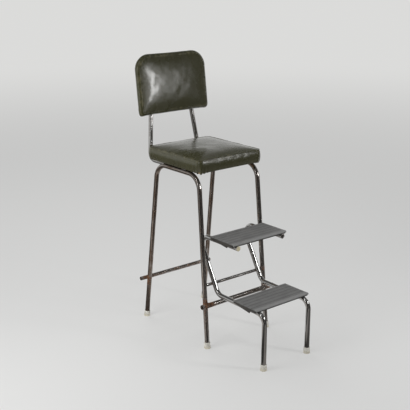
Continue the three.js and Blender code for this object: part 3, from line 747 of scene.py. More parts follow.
class STOOL_OT_crossbars(bpy.types.Operator):
    """Builds the two crossbars and the weld beads that hold them"""
    bl_idname = "stool.crossbars"
    bl_label = "Crossbars and welds"

    def execute(self, context):
        scene = context.scene
        tubes = scene.stool_tubes
        bore_depth = 0.035
        bars = (("front_crossbar", tubes.diameter, 0.55, front_leg_y),
                ("rear_crossbar", tubes.rear_bar, 0.6, rear_leg_y))
        for node, diameter, tarnish, leg_y in bars:
            low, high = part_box(node)
            centre = (low + high) / 2
            ends = [Vector((x, centre.y, centre.z)) for x in (low.x, high.x)]
            rim = open_end(diameter / 2, tubes.wall, bore_depth)
            add_tube(scene, f"{node}_tube", bent_path(ends, diameter), Z_AXIS, diameter / 2, (rim, rim),
                     tarnish, worn_places(), "frame", node)
            for label, side in SIDES:
                x = side * leg_half_spacing(centre.z)
                add_weld(scene, f"{node}_weld_{label}", "frame", Vector((x, leg_y(centre.z), centre.z)),
                         Vector((x, centre.y, centre.z)), tubes.diameter / 2, diameter / 2, Z_AXIS)
        return {"FINISHED"}


def add_weld(scene, name, body, leg_centre, bar_centre, leg_radius, bar_radius, leg_direction):
    """A rippled bead round the place where a bar that runs across meets a leg."""
    outward = bar_centre - leg_centre
    outward -= leg_direction * outward.dot(leg_direction)
    outward.normalize()
    reach = min(leg_radius, bar_radius) * 0.80
    thickness, gap_share, steps = 0.0012, 0.42, 40
    points, radii = [], []
    for i in range(steps):
        angle = 2 * math.pi * i / steps
        across, along = reach * math.cos(angle), reach * math.sin(angle)
        leg_skin = math.sqrt(leg_radius ** 2 - across ** 2)
        bar_skin = (bar_centre - leg_centre).dot(outward) - math.sqrt(bar_radius ** 2 - along ** 2)
        points.append(leg_centre + outward * (leg_skin + bar_skin) / 2 + X_AXIS * across
                      + leg_direction * along)
        rippled = 0.00035 * math.sin(angle * 9) + 0.0003 * math.sin(angle * 4 + 1)
        radii.append(thickness + max(bar_skin - leg_skin, 0.0) * gap_share + rippled)
    bead, faces = loop_tube(points, [outward] * steps, radii, CORD_SIDES)
    bead = np.array(bead)
    values = {"along": bead, "tarnish": np.ones(len(bead)), "rust": np.full(len(bead), 0.62)}
    add_piece(name, make_mesh(name, bead, faces, values), chrome(scene), body, "chrome_tube")


class STOOL_OT_posts(bpy.types.Operator):
    """Builds the two bent back posts"""
    bl_idname = "stool.back_posts"
    bl_label = "Back posts"

    def execute(self, context):
        tubes = context.scene.stool_tubes
        radius = tubes.diameter / 2
        rim = open_end(radius, tubes.wall, 0.05)
        for label, side in SIDES:
            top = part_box(f"{label}_back_post")[1].z - radius * math.sin(BACK_LEAN)
            corners = [
                Vector((side * POST_RUN_X, FEET_Y + POST_FRONT_Y, RAIL_HEIGHT)),
                Vector((side * POST_RUN_X, FEET_Y + POST_CORNER_Y, RAIL_HEIGHT)),
                Vector((side * post_half_spacing(top), post_y(top), top)),
            ]
            spots = [(corners[0], 0.03, 0.5), (corners[1] - Z_AXIS * 0.02, 0.06, 0.35)]
            add_tube(context.scene, f"{label}_bent_post", bent_path(corners, tubes.post_bend), X_AXIS,
                     radius, (rim, rim), tarnish=0.20, spots=spots, body="frame",
                     node=f"{label}_back_post")
        return {"FINISHED"}


def step_corners(side_x):
    """The corners of a step tube, worked out from the pivot rod as the CAD does."""
    rod = middle("step_pivot_rod")
    rod_to_diagonal = size("step_pivot_rod").z / 2 + TUBE_DIAMETER / 2 + FIT
    line_y = rod.y - rod_to_diagonal * math.sin(DIAGONAL_ANGLE)
    line_z = rod.z + rod_to_diagonal * math.cos(DIAGONAL_ANGLE)

    def diagonal_y(height):
        return line_y + (height - line_z) / math.tan(DIAGONAL_ANGLE)
    foot_y = middle("left_step_tip").y
    front_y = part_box("upper_tread_mat")[0].y - 0.003
    profile = ((front_y, UPPER_RUN_HEIGHT), (diagonal_y(UPPER_RUN_HEIGHT), UPPER_RUN_HEIGHT),
               (diagonal_y(LOWER_RUN_HEIGHT), LOWER_RUN_HEIGHT), (foot_y, LOWER_RUN_HEIGHT),
               (foot_y, TUBE_END_HEIGHT))
    return [Vector((side_x, y, z)) for y, z in profile]


class STOOL_OT_step_tubes(bpy.types.Operator):
    """Builds the two step tubes, the pivot rod, its weld beads and the tube plug"""
    bl_idname = "stool.step_tubes"
    bl_label = "Step tubes and rod"

    def execute(self, context):
        scene = context.scene
        tubes = scene.stool_tubes
        radius = tubes.diameter / 2
        rod_low, rod_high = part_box("step_pivot_rod")
        rod = (rod_low + rod_high) / 2
        ends = (open_end(radius, tubes.wall, 0.05), closed_end(radius))
        for label, _ in SIDES:
            corners = step_corners(middle(f"{label}_step_tube").x)
            spots = worn_places() + [(corners[0], 0.02, 0.75), (corners[2] + Y_AXIS * 0.03, 0.03, 0.3),
                                     (corners[4], 0.035, 0.4)]
            add_tube(scene, f"{label}_bent_step", bent_path(corners, tubes.step_bend), X_AXIS, radius,
                     ends, tarnish=0.06, spots=spots, body="steps", node=f"{label}_step_tube")
            diagonal = (corners[1] - corners[2]).normalized()
            share = (rod.z - corners[2].z) / (corners[1].z - corners[2].z)
            on_tube = corners[2].lerp(corners[1], share)
            on_tube += diagonal * (rod - on_tube).dot(diagonal)
            add_weld(scene, f"pivot_rod_weld_{label}", "steps", on_tube,
                     Vector((on_tube.x, rod.y, rod.z)), radius, tubes.rod / 2, diagonal)
        line = [Vector((x, rod.y, rod.z)) for x in (rod_low.x, rod_high.x)]
        rod_end = closed_end(tubes.rod / 2, 0.0006)
        add_tube(scene, "pivot_rod", bent_path(line, tubes.rod), Z_AXIS, tubes.rod / 2,
                 (rod_end, rod_end), tarnish=0.3, spots=worn_places(), body="steps",
                 node="step_pivot_rod")
        self.plug(scene, radius)
        return {"FINISHED"}

    def plug(self, scene, radius):
        low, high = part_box("left_tube_plug")
        centre = (low + high) / 2
        stem = radius - scene.stool_tubes.wall - 2 * FIT
        stem_length, head = 0.012, 0.002
        under = -stem_length
        profile = [(0, 0), (stem, 0), (stem, under), (radius, under), (radius, under - 0.0011),
                   (radius - 0.0006, under - 0.0017), (radius - 0.003, under - head),
                   (0, under - head - 0.0001)]
        turn = (Matrix.Translation((centre.x, low.y + head + stem_length, centre.z))
                @ Matrix.Rotation(-math.pi / 2, 4, "X"))
        points, faces = turned(profile, 40, turn)
        colour = scene.stool_fittings.plug_plastic
        material = material_of("cream_plastic",
                               lambda: white_rubber("cream_plastic", colour, dustiness=0.35))
        mesh = make_mesh("tube_end_plug", points, faces, sharp=50)
        add_piece("tube_end_plug", mesh, material, "steps", "plug_plastic", "left_tube_plug")


class STOOL_OT_tips(bpy.types.Operator):
    """Builds the six rubber tips, cut flat on the floor"""
    bl_idname = "stool.rubber_tips"
    bl_label = "Rubber tips"

    def execute(self, context):
        scene = context.scene
        fittings = scene.stool_fittings
        rubber = fittings.tip_rubber
        material = material_of("yellowed_rubber",
                               lambda: white_rubber("yellowed_rubber", rubber, dustiness=0.3))
        splay = math.atan2((FOOT_SPACING - RAIL_SPACING) / 2, RAIL_HEIGHT)
        front_tilt = math.atan2(FRONT_RAKE, RAIL_HEIGHT)
        rear_tilt = math.atan2(REAR_RAKE, RAIL_HEIGHT)
        for label, side in SIDES:
            x = side * leg_half_spacing(0)
            foot = middle(f"{label}_step_tip")
            out = -side * splay
            places = [
                (f"front_{label}", Vector((x, front_leg_y(0), 0)), front_tilt, out, "frame"),
                (f"rear_{label}", Vector((x, rear_leg_y(0), 0)), -rear_tilt, out, "frame"),
                (f"{label}_step", Vector((foot.x, foot.y, 0)), 0, 0, "steps"),
            ]
            for name, place, back, out, body in places:
                turn = (Matrix.Translation(place) @ Matrix.Rotation(out, 4, "Y")
                        @ Matrix.Rotation(-back, 4, "X"))
                points, faces = turned(self.profile(scene), 48, turn)
                mesh = make_mesh(f"{name}_rubber", points, faces, sharp=60)
                self.cut_flat(mesh)
                add_piece(f"{name}_rubber", mesh, material, body, "tip_rubber", f"{name}_tip")
        return {"FINISHED"}

    def profile(self, scene):
        """From under the floor, over a flange and a groove, up to the lip and into the socket."""
        fittings = scene.stool_fittings
        radius, height = fittings.tip_diameter / 2, fittings.tip_height
        socket = scene.stool_tubes.diameter / 2 + FIT
        top = radius - 0.001
        under_floor, socket_floor = -0.005, 0.004
        return [(0, under_floor), (radius, under_floor), (radius, 0.0035), (radius - 0.0003, 0.0045),
                (radius - 0.0006, 0.0055), (radius - 0.0004, 0.0065), (top, height - 0.0035),
                (top + 0.0003, height - 0.0022), (top - 0.0001, height - 0.0008), (top - 0.0008, height),
                (socket + 0.0006, height), (socket, height - 0.0008), (socket, socket_floor),
                (0, socket_floor)]

    def cut_flat(self, mesh):
        shape = bmesh.new()
        shape.from_mesh(mesh)
        everything = shape.verts[:] + shape.edges[:] + shape.faces[:]
        cut = bmesh.ops.bisect_plane(shape, geom=everything, plane_co=(0, 0, 0), plane_no=(0, 0, -1),
                                     clear_outer=True)
        rim = [e for e in cut["geom_cut"] if isinstance(e, bmesh.types.BMEdge)]
        bmesh.ops.edgeloop_fill(shape, edges=rim)
        bmesh.ops.recalc_face_normals(shape, faces=shape.faces[:])
        shape.to_mesh(mesh)
        shape.free()


# Padding


def axis_steps(half, pitch):
    """Places across a panel from edge to edge, close together by the edges."""
    *edge_steps, last_step = (0, 0.002, 0.0045, 0.0085)
    inner = half - last_step
    count = max(2, round(2 * inner / pitch))
    edges = [half - step for step in edge_steps]
    return np.array([-x for x in edges] + list(np.linspace(-inner, inner, count + 1)) + edges[::-1])


def round_corners(x, y, half_x, half_y, top_radius, bottom_radius):
    """Bends a square grid's corners into a rounded outline."""
    for side_x in (-1, 1):
        for side_y, radius in ((-1, bottom_radius), (1, top_radius)):
            u = (side_x * x - half_x + radius) / radius
            v = (side_y * y - half_y + radius) / radius
            inside = (u > 0) & (v > 0)
            u, v = np.clip(u, 0, 1), np.clip(v, 0, 1)
            new_x = side_x * (half_x - radius + radius * u * np.sqrt(1 - v * v / 2))
            new_y = side_y * (half_y - radius + radius * v * np.sqrt(1 - u * u / 2))
            x, y = np.where(inside, new_x, x), np.where(inside, new_y, y)
    return x, y


class PadForm:
    """A cushion cover: a grid for its panel, rows of border below the seam and a pocket for the board.

    rows are (drop below the seam, reach out from it). pocket is its reach out from the seam and the
    height of its ceiling. Points are z up from the board's outer face."""

    def __init__(self, half_x, half_y, top_radius, bottom_radius, seam_height, rows, pocket,
                 pitch=0.0055):
        xs, ys = axis_steps(half_x, pitch), axis_steps(half_y, pitch)
        grid_x, grid_y = np.meshgrid(xs, ys)
        x, y = round_corners(grid_x, grid_y, half_x, half_y, top_radius, bottom_radius)
        columns, lines = len(xs), len(ys)
        self.panel_count = columns * lines
        self.grid = (lines, columns)
        self.share_x, self.share_y = (grid_x / half_x).ravel(), (grid_y / half_y).ravel()
        panel = np.stack([x.ravel(), y.ravel(), np.full(self.panel_count, seam_height)], axis=1)
        index = np.arange(self.panel_count).reshape(lines, columns)
        self.rim = np.concatenate([index[0, :-1], index[:-1, -1], index[-1, :0:-1], index[:0:-1, 0]])
        faces = [(index[j, i], index[j, i + 1], index[j + 1, i + 1], index[j + 1, i])
                 for j in range(lines - 1) for i in range(columns - 1)]
        edge = panel[self.rim][:, :2]
        tangent = np.roll(edge, -1, axis=0) - np.roll(edge, 1, axis=0)
        tangent /= np.linalg.norm(tangent, axis=1)[:, None]
        self.outward = np.stack([tangent[:, 1], -tangent[:, 0]], axis=1)
        self.way = np.concatenate([[0], np.cumsum(np.linalg.norm(np.diff(edge, axis=0), axis=1))])
        self.count = len(self.rim)
        all_rows = []
        points = [panel]
        upper = self.rim
        reach, ceiling = pocket
        levels = [(seam_height - drop, out) for drop, out in rows]
        levels += [(FIT, reach), (ceiling, reach)]
        for height, out in levels:
            ring = np.column_stack([edge + self.outward * out, np.full(self.count, height)])
            lower = np.arange(self.count) + sum(len(p) for p in points)
            points.append(ring)
            all_rows.append(lower)
            following = np.roll(np.arange(self.count), -1)
            faces += [(upper[i], lower[i], lower[j], upper[j]) for i, j in enumerate(following)]
            upper = lower
        centre = sum(len(p) for p in points)
        points.append(np.array([[0, 0, ceiling]]))
        faces += [(upper[i], centre, upper[(i + 1) % self.count]) for i in range(self.count)]
        self.points = np.concatenate(points)
        self.faces = faces
        self.seam_height = seam_height
        self.border_rows = all_rows[:len(rows)]

    def bulge(self):
        """How full each panel point is, 0 at the seam and 1 over most of the middle."""
        return (1 - np.abs(self.share_x) ** 3) * (1 - np.abs(self.share_y) ** 3)

    def crown(self, rise):
        self.points[:self.panel_count, 2] = self.seam_height + rise * self.bulge()

    def swell(self, crown, pressure, border_limit, name):
        """Crowns the cover, blows it up as cloth, then eases it and brings it to its full crown."""
        self.crown(crown * 0.55)
        inflate(self, pressure, border_limit, name)
        self.ease(4)
        self.fit_crown(crown)

    def ease(self, times):
        """Smooths the blown-up panel, except along its seam."""
        panel = self.points[:self.panel_count].reshape(*self.grid, 3)
        for _ in range(times):
            round_about = panel[:-2, 1:-1] + panel[2:, 1:-1] + panel[1:-1, :-2] + panel[1:-1, 2:]
            panel[1:-1, 1:-1, 2] = (panel[1:-1, 1:-1, 2] + round_about[..., 2] / 4) / 2

    def ripple(self, height, seed):
        """Soft uneven swells over the panel, as foam settles under its cover."""
        random = np.random.default_rng(seed)
        x, y = self.points[:self.panel_count, 0], self.points[:self.panel_count, 1]
        field = np.zeros(self.panel_count)
        for _ in range(14):
            heading, phase = random.uniform(0, 2 * math.pi, 2)
            length = random.uniform(0.024, 0.070)
            way = x * math.cos(heading) + y * math.sin(heading)
            field += length * np.sin(way * 2 * math.pi / length + phase)
        field *= height / np.abs(field).max()
        self.points[:self.panel_count, 2] += field * self.bulge()

    def fit_crown(self, rise):
        """Scales the blown-up top so that its highest place is rise above the seam."""
        height = self.points[:self.panel_count, 2] - self.seam_height
        self.points[:self.panel_count, 2] = self.seam_height + height * rise / height.max()


def inflate(form, pressure, border_limit, name):
    """Blows the cover up as cloth. The pocket and lowest border row hold still, and the seam partly."""
    panel_limit, seam_hold, slack, last_frame = 0.060, 0.55, 0.004, 20
    blown = bpy.data.objects.new(name, make_mesh(name, form.points, form.faces))
    scene = bpy.context.scene
    scene.collection.objects.link(blown)
    holds = blown.vertex_groups.new(name="held")
    free = set(range(form.panel_count)) | {int(i) for row in form.border_rows[:-1] for i in row}
    holds.add([i for i in range(len(form.points)) if i not in free], 1.0, "REPLACE")
    holds.add([int(i) for i in form.rim], seam_hold, "REPLACE")
    cloth = blown.modifiers.new("air", "CLOTH").settings
    settings = {"quality": 6, "mass": 0.25, "tension_stiffness": 12, "compression_stiffness": 8,
                "shear_stiffness": 5, "bending_stiffness": 0.35, "tension_damping": 8, "air_damping": 2,
                "use_pressure": True, "uniform_pressure_force": pressure, "vertex_group_mass": "held",
                "shrink_min": -slack}
    for key, value in settings.items():
        setattr(cloth, key, value)
    cloth.effector_weights.gravity = 0
    for number in range(1, last_frame + 1):
        scene.frame_set(number)
    result = blown.evaluated_get(bpy.context.evaluated_depsgraph_get()).data
    moved = np.zeros(len(form.points) * 3, np.float32)
    result.vertices.foreach_get("co", moved)
    step = moved.reshape(-1, 3) - form.points
    limit = np.full(len(step), border_limit)
    limit[:form.panel_count] = panel_limit
    share = np.minimum(1, limit / np.maximum(np.linalg.norm(step, axis=1), 1e-9))
    for row in form.border_rows:
        for _ in range(3):
            beside = (np.roll(step[row], 1, axis=0) + np.roll(step[row], -1, axis=0)) / 2
            step[row] = (step[row] + beside) / 2
    form.points = form.points + step * share[:, None]
    bpy.data.objects.remove(blown)
    scene.frame_set(1)


def way_from(form, place):
    """How far each rim point is from a place, along the closed edge."""
    apart = np.abs(form.way - place)
    return np.minimum(apart, form.way[-1] - apart)


def distance_from(points, corner):
    return np.hypot(points[:, 0] - corner[0], points[:, 1] - corner[1])


def pleats(form, place, spread, pitch, depth, low_rows):
    """Small upright folds on the border near a place along its edge, deepest at the bottom."""
    mask = np.clip(1 - way_from(form, place) / spread, 0, 1) ** 0.7
    wave = np.sin(2 * math.pi * (form.way - place) / pitch)
    rows = form.border_rows
    for k, row in enumerate(rows):
        fade = np.clip((k - (len(rows) - 1 - low_rows)) / low_rows, 0, 1)
        form.points[row, :2] += form.outward * (depth * fade * mask * wave)[:, None]


def hang(form, corner, radius, drop, direction):
    """Lets the cover hang out at a corner, as it does where it's gathered."""
    near_corner = np.exp(-(distance_from(form.points, corner) / radius) ** 2)
    form.points += np.outer(drop * near_corner, direction)


def sag(form, corner, radius, drop):
    """Lets the lowest rows of the border hang below the board at a corner, in uneven gathers."""
    rows = form.border_rows
    uneven = 0.6 + 0.4 * np.sin(form.way * 2 * math.pi / SEAT_PLEAT_PITCH)
    for k, row in enumerate(rows):
        near_corner = np.exp(-(distance_from(form.points[row], corner) / radius) ** 2)
        form.points[row, 2] -= drop * (k / (len(rows) - 1)) ** 3 * near_corner * uneven


def corner_ways(form):
    """How far along the edge each corner is: bottom left, bottom right, top right, top left."""
    edge = form.points[form.rim]
    return [form.way[int(np.argmax(edge[:, 0] * x + edge[:, 1] * y))] for x, y in CORNERS]


def edge_wear_and_sheen(form, strength):
    """Paler along the seam for rubbing and a painted highlight, fading into the panel and down the
    border.
    """
    wear = np.zeros(len(form.points))
    panel_edge = np.maximum(np.abs(form.share_x), np.abs(form.share_y))
    paler_from, paler_rows = 0.93, 4
    wear[:form.panel_count] = np.clip((panel_edge - paler_from) / (1 - paler_from), 0, 1) * strength
    for k, row in enumerate(form.border_rows[:paler_rows]):
        wear[row] = strength * (1 - k / paler_rows)
    return wear


def vinyl_piece(scene, name, points, faces, wear, sharp=None, thread=False, node=()):
    """A piece of the covers, or of the thread that sews them."""
    mesh = make_mesh(name, points, faces, {"wear": wear}, sharp)
    material = cover(scene, "olive_thread" if thread else "olive_leathercloth")
    return add_piece(name, mesh, material, "frame", "vinyl", *node)


def cover_piece(scene, name, form, matrix, node):
    points = [matrix @ Vector(p) for p in form.points]
    piece = vinyl_piece(scene, name, points, form.faces, edge_wear_and_sheen(form, 0.8), node=(node,))
    smooth = piece.modifiers.new("smooth", "SUBSURF")
    smooth.levels = smooth.render_levels = 1


def seam_piece(scene, name, form, matrix, out, lift, seed):
    """A sewn edge that follows the seam, a little uneven."""
    radius = scene.stool_padding.piping / 2
    random = np.random.default_rng(seed)
    rough = np.convolve(random.normal(0, 1, form.count * 3), np.ones(9) / 9, "same")
    rough = rough[form.count:2 * form.count]
    points = []
    for i in range(form.count):
        outward = Vector((*form.outward[i], 0))
        points.append(matrix @ (Vector(form.points[form.rim[i]]) + outward * out
                                + Z_AXIS * (lift + rough[i] * 0.0006)))
    normals = [matrix.to_3x3() @ Z_AXIS] * form.count
    cord, faces = loop_tube(points, normals, radius * (1 + 0.35 * rough), CORD_SIDES)
    # The sewn edge is painted mostly pale: rubbing and a painted highlight.
    wear = 0.75 + 0.25 * np.repeat(rough / max(abs(rough).max(), 1e-9), CORD_SIDES)
    vinyl_piece(scene, name, cord, faces, wear)


def stitch_piece(scene, name, form, ring, matrix):
    """A row of stitches that lies on a ring of the cover."""
    padding = scene.stool_padding
    pitch, stitch_radius, proud = padding.stitch_pitch, 0.0005, 0.0002
    closed = np.vstack([form.points[ring], form.points[ring[:1]]])
    outward = np.vstack([form.outward, form.outward[:1]])
    way = np.concatenate([[0], np.cumsum(np.linalg.norm(np.diff(closed, axis=0), axis=1))])
    places = []
    for distance in np.arange(0, way[-1] - pitch / 2, pitch):
        i = int(np.searchsorted(way, distance, side="right") - 1)
        share = (distance - way[i]) / (way[i + 1] - way[i])
        out = outward[i] * (1 - share) + outward[i + 1] * share
        point = Vector(closed[i] * (1 - share) + closed[i + 1] * share) + Vector((*out, 0)) * proud
        heading = Vector(closed[i + 1] - closed[i]).normalized()
        places.append((matrix @ point, matrix.to_3x3() @ heading))
    points, faces = capsules(places, padding.stitch_length, stitch_radius)
    vinyl_piece(scene, name, points, faces, np.zeros(len(points)), thread=True)


def turned_under(scene, form, matrix):
    """The cover's margin, folded under the board, and the staples that hold it."""
    edge = form.points[form.border_rows[-1]]
    from_corner = np.min([way_from(form, place) for place in corner_ways(form)], axis=0)
    narrowest, widening, wave, wave_length = 0.011, 0.010, 0.0009, 0.041
    straight = np.clip((from_corner - 0.010) / 0.020, 0, 1)
    width = narrowest + widening * straight + wave * np.sin(form.way * 2 * math.pi / wave_length)
    # Lines of the margin, as (inset from the border, level, how far it follows the border's sag)
    lines = ((0.0006, 0.0004, 1.0), (0.0012, -0.0010, 1.0), (width * 0.55, -0.0011, 0.2),
             (width, -0.0010, 0.0), (width + 0.0003, -0.0001, 0.0))
    rings = []
    for inset, level, follow in lines:
        place = edge[:, :2] - form.outward * np.broadcast_to(inset, form.count)[:, None]
        rings.append(np.column_stack([place, level + (edge[:, 2] - FIT) * follow]))
    points = [matrix @ Vector(p) for p in np.concatenate(rings)]
    faces = skin(len(lines), form.count, closed_path=True)
    vinyl_piece(scene, "seat_cover_margin", points, faces, np.zeros(len(points)), sharp=60)
    staples = []
    first_staple, staple_pitch, clear_of_corner = 0.020, 0.031, 0.018
    for distance in np.arange(first_staple, form.way[-1], staple_pitch):
        i = int(np.searchsorted(form.way, distance)) % form.count
        if from_corner[i] > clear_of_corner:
            heading = Vector((-form.outward[i][1], form.outward[i][0], 0))
            staples.append((matrix @ Vector((*rings[2][i][:2], -0.0013)), heading))
    mesh = make_mesh("seat_staples", *capsules(staples, length=0.009, radius=0.00055))
    add_piece("seat_staples", mesh, bare_steel(scene), "frame", "plain_steel")


class STOOL_OT_seat(bpy.types.Operator):
    """Blows up the seat cover and adds its sewn edge, stitches and stapled margin"""
    bl_idname = "stool.seat"
    bl_label = "Seat cushion"

    def execute(self, context):
        scene = context.scene
        padding = scene.stool_padding
        low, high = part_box("seat_board")
        matrix = Matrix.Translation(((low.x + high.x) / 2, (low.y + high.y) / 2, low.z))
        half_x, half_y = padding.seat_width / 2, padding.seat_depth / 2
        seam_in = 0.0022
        pocket = (seam_in - 0.0042, size("seat_board").z + FIT)
        form = PadForm(half_x - seam_in, half_y - seam_in, top_radius=0.015, bottom_radius=0.016,
                       seam_height=padding.seat_edge, rows=self.border(padding.seat_edge), pocket=pocket)
        form.swell(padding.seat_crown, padding.pressure, border_limit=0.0025, name="seat_blown")
        form.ripple(height=0.0004, seed=11)
        for place, depth in zip(corner_ways(form), (0.0030, 0.0024, 0.0016, 0.0016)):
            pleats(form, place, spread=0.046, pitch=SEAT_PLEAT_PITCH, depth=depth, low_rows=8)
        for x, y in CORNERS:
            sag(form, (x * half_x, y * half_y), radius=0.032, drop=0.0050)
        cover_piece(scene, "seat_cover", form, matrix, "seat_cushion")
        seam_piece(scene, "seat_seam_welt", form, matrix, out=0.0004, lift=0.0004, seed=3)
        stitch_piece(scene, "seat_stitches", form, form.border_rows[2], matrix)
        turned_under(scene, form, matrix)
        return {"FINISHED"}

    def border(self, edge):
        """The border's rows: tucked in under the seam, full at mid height and drawn in at the board."""
        drops = (0.0016, 0.0040, 0.0070, 0.0100, 0.0140, 0.0190, 0.0250, 0.0310, 0.0370, 0.0420, 0.0460,
                 edge - FIT)
        proud, fullness, drawn_in, tucked_in, tuck_depth = 0.0004, 0.0038, 0.0016, 0.0024, 0.0022
        rows = []
        for drop in drops:
            share = drop / edge
            full = fullness * math.sin(math.pi * min(share, 1)) ** 0.7
            tuck = tucked_in * math.exp(-drop / tuck_depth)
            rows.append((drop, proud + full - drawn_in * share ** 3 - tuck))
        return rows


class STOOL_OT_back(bpy.types.Operator):
    """Blows up the padded back's cover and adds its sewn edge, stitches and rear panel"""
    bl_idname = "stool.back"
    bl_label = "Padded back"

    def execute(self, context):
        scene = context.scene
        padding = scene.stool_padding
        half_x, half_y = padding.back_width / 2, padding.back_height / 2
        matrix = (Matrix.Translation((0, post_y(BACK_HEIGHT_UP), BACK_HEIGHT_UP))
                  @ Matrix.Rotation(math.pi / 2 - BACK_LEAN, 4, "X"))
        panel_rear = TUBE_DIAMETER / 2 + FIT
        board_rear = panel_rear + BACK_PANEL_THICKNESS + FIT
        front = matrix @ Matrix.Translation((0, 0, board_rear))
        seam_in, board_thickness = 0.012, 0.009
        edge = padding.back_edge
        rows = [(0.0010, 0.0030), (0.0028, 0.0060), (0.0060, 0.0090), (0.0095, 0.0110), (0.0140, 0.0120),
                (0.0180, 0.0110), (edge - FIT, 0.0088)]
        pocket = (seam_in - 0.0047, board_thickness + FIT)
        form = PadForm(half_x - seam_in, half_y - seam_in, top_radius=0.054, bottom_radius=0.011,
                       seam_height=edge, rows=rows, pocket=pocket)
        form.swell(padding.back_crown, padding.pressure, border_limit=0.0020, name="back_blown")
        form.ripple(height=0.0006, seed=23)
        for place in corner_ways(form)[:2]:
            pleats(form, place, spread=0.034, pitch=0.009, depth=0.0014, low_rows=4)
        for side, drop in ((-1, 0.0072), (1, 0.0062)):
            hang(form, (side * half_x, -half_y), radius=0.018, drop=drop,
                 direction=(side * 0.3, -1, 0))
        cover_piece(scene, "back_cover", form, front, "backrest_cushion")
        seam_piece(scene, "back_seam_welt", form, front, out=0.0002, lift=0.0004, seed=5)
        stitch_piece(scene, "back_stitches", form, form.border_rows[1], front)
        self.rear_panel(scene, matrix @ Matrix.Translation((0, 0, panel_rear)), half_x, half_y)
        return {"FINISHED"}

    def rear_panel(self, scene, matrix, half_x, half_y):
        inset, thickness = 0.006, BACK_PANEL_THICKNESS
        rows = [(0.0004, 0.0006), (0.0012, 0.0009), (0.0022, 0.0009), (0.0027, 0.0004)]
        form = PadForm(half_x - inset, half_y - inset, top_radius=0.056, bottom_radius=0.010,
                       seam_height=thickness, rows=rows, pocket=(-0.004, 0.0002), pitch=0.009)
        form.points[:, 2] = thickness - form.points[:, 2]
        form.points[:, 0] *= -1
        points = [matrix @ Vector(p) for p in form.points]
        vinyl_piece(scene, "back_rear_cover", points, form.faces, edge_wear_and_sheen(form, 0.5), sharp=60,
                    node=("backrest_back_panel",))


# Treads


def mat_profile(depth, treads):
    """A mat's side view as (way back, height, darkening for grime and painted shade, paling for rubbing
    and painted highlight), round from its lower front edge.
    """
    nose_radius, nose_thickness, nose_drop, smooth_strip = 0.004, 0.0025, 0.004, 0.016
    nose_steps, samples, darker_every, darker_one = 12, 12, 4, 2
    thick, pitch = treads.thickness, treads.rib_pitch
    # Below the nose the mat is darkened with painted shade.
    outline = [
        (nose_thickness, -nose_drop + 0.0004, 0.6, 0), (nose_thickness - 0.0005, -nose_drop, 0.6, 0),
        (0.0006, -nose_drop, 0.4, 0.3), (0, -nose_drop + 0.0006, 0.2, 0.6)]
    # The rounded nose and the smooth strip behind it are painted paler: rubbing and a painted highlight.
    for i in range(nose_steps + 1):
        angle = math.pi - math.pi / 2 * i / nose_steps
        outline.append((nose_radius + nose_radius * math.cos(angle),
                        thick - nose_radius + nose_radius * math.sin(angle), 0, 1.0))
    for share in (0.3, 0.6, 0.85):
        back = nose_radius + (smooth_strip - nose_radius) * share
        outline.append((back, thick + 0.0001, 0, 0.8 - 0.5 * share))
    # Ribs with darkened grooves, grime and painted shade; every fourth groove is deeper and darker, and
    # the rib tops are a little paler.
    for i in range(int((depth - smooth_strip) / pitch) * samples + 1):
        deep = (i // samples) % darker_every == darker_one
        dip = (0.5 - 0.5 * math.cos(2 * math.pi * i / samples)) ** (0.8 if deep else 1.8)
        outline.append((smooth_strip + i * pitch / samples, thick - treads.rib_depth * dip,
                        dip if deep else 0.5 * dip, 0.12 * (1 - dip)))
    # The rear edge's rounded top is paled as a painted highlight, and its end and the underside are
    # darkened with painted shade.
    return outline + [
        (depth - 0.0008, thick, 0, 0.4), (depth - 0.0002, thick - 0.0003, 0, 0.5),
        (depth, thick - 0.0009, 0, 0.4), (depth, 0.0004, 0.5, 0), (depth - 0.0004, 0, 0.6, 0),
        (nose_thickness + 0.0004, 0, 0.6, 0), (nose_thickness, -0.0004, 0.6, 0)]


class STOOL_OT_treads(bpy.types.Operator):
    """Builds the ribbed tread mats and finishes the painted trays under them"""
    bl_idname = "stool.treads"
    bl_label = "Treads"

    def execute(self, context):
        scene = context.scene
        treads = scene.stool_treads
        rubber = material_of("ribbed_rubber", lambda: tread_rubber(treads))
        paint = material_of("tray_paint", lambda: tray_paint(treads, scene.stool_tubes))
        for label in ("upper", "lower"):
            mesh = self.mat(f"{label}_ribbed_mat", *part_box(f"{label}_tread_mat"), treads)
            add_piece(mesh.name, mesh, rubber, "steps", "tread_rubber", f"{label}_tread_mat")
            dress_node(f"{label}_tread_pan", paint, bevel=0.0005)
        return {"FINISHED"}

    def mat(self, name, low, high, treads):
        """The side view drawn across the tread, eased at both sides and worn most in the middle."""
        columns, side_round, side_ease = 25, 0.0015, 0.0006
        outline = mat_profile(high.y - low.y, treads)
        base = high.z - treads.thickness
        points, groove, wear = [], [], []
        for share in np.arange(columns) / (columns - 1):
            x = low.x + (high.x - low.x) * share
            tuck = side_ease * max(0, 1 - min(x - low.x, high.x - x) / side_round)
            worn = 0.6 + 0.4 * math.exp(-((share - 0.5) / 0.3) ** 2)
            for back, height, dirt_and_shade, rubbed_and_sheen in outline:
                drop = tuck if height > treads.thickness / 2 else 0
                points.append((x, low.y + back, base + height - drop))
                groove.append(dirt_and_shade)
                wear.append(rubbed_and_sheen * worn)
        count = len(outline)
        faces = []
        for here in range(0, (columns - 1) * count, count):
            there = here + count
            for i in range(count):
                j = (i + 1) % count
                faces.append((here + i, there + i, there + j, here + j))
        faces.append(tuple(range(count)))
        faces.append(tuple((columns - 1) * count + i for i in reversed(range(count))))
        return make_mesh(name, points, faces, {"groove": groove, "wear": wear}, sharp=55)


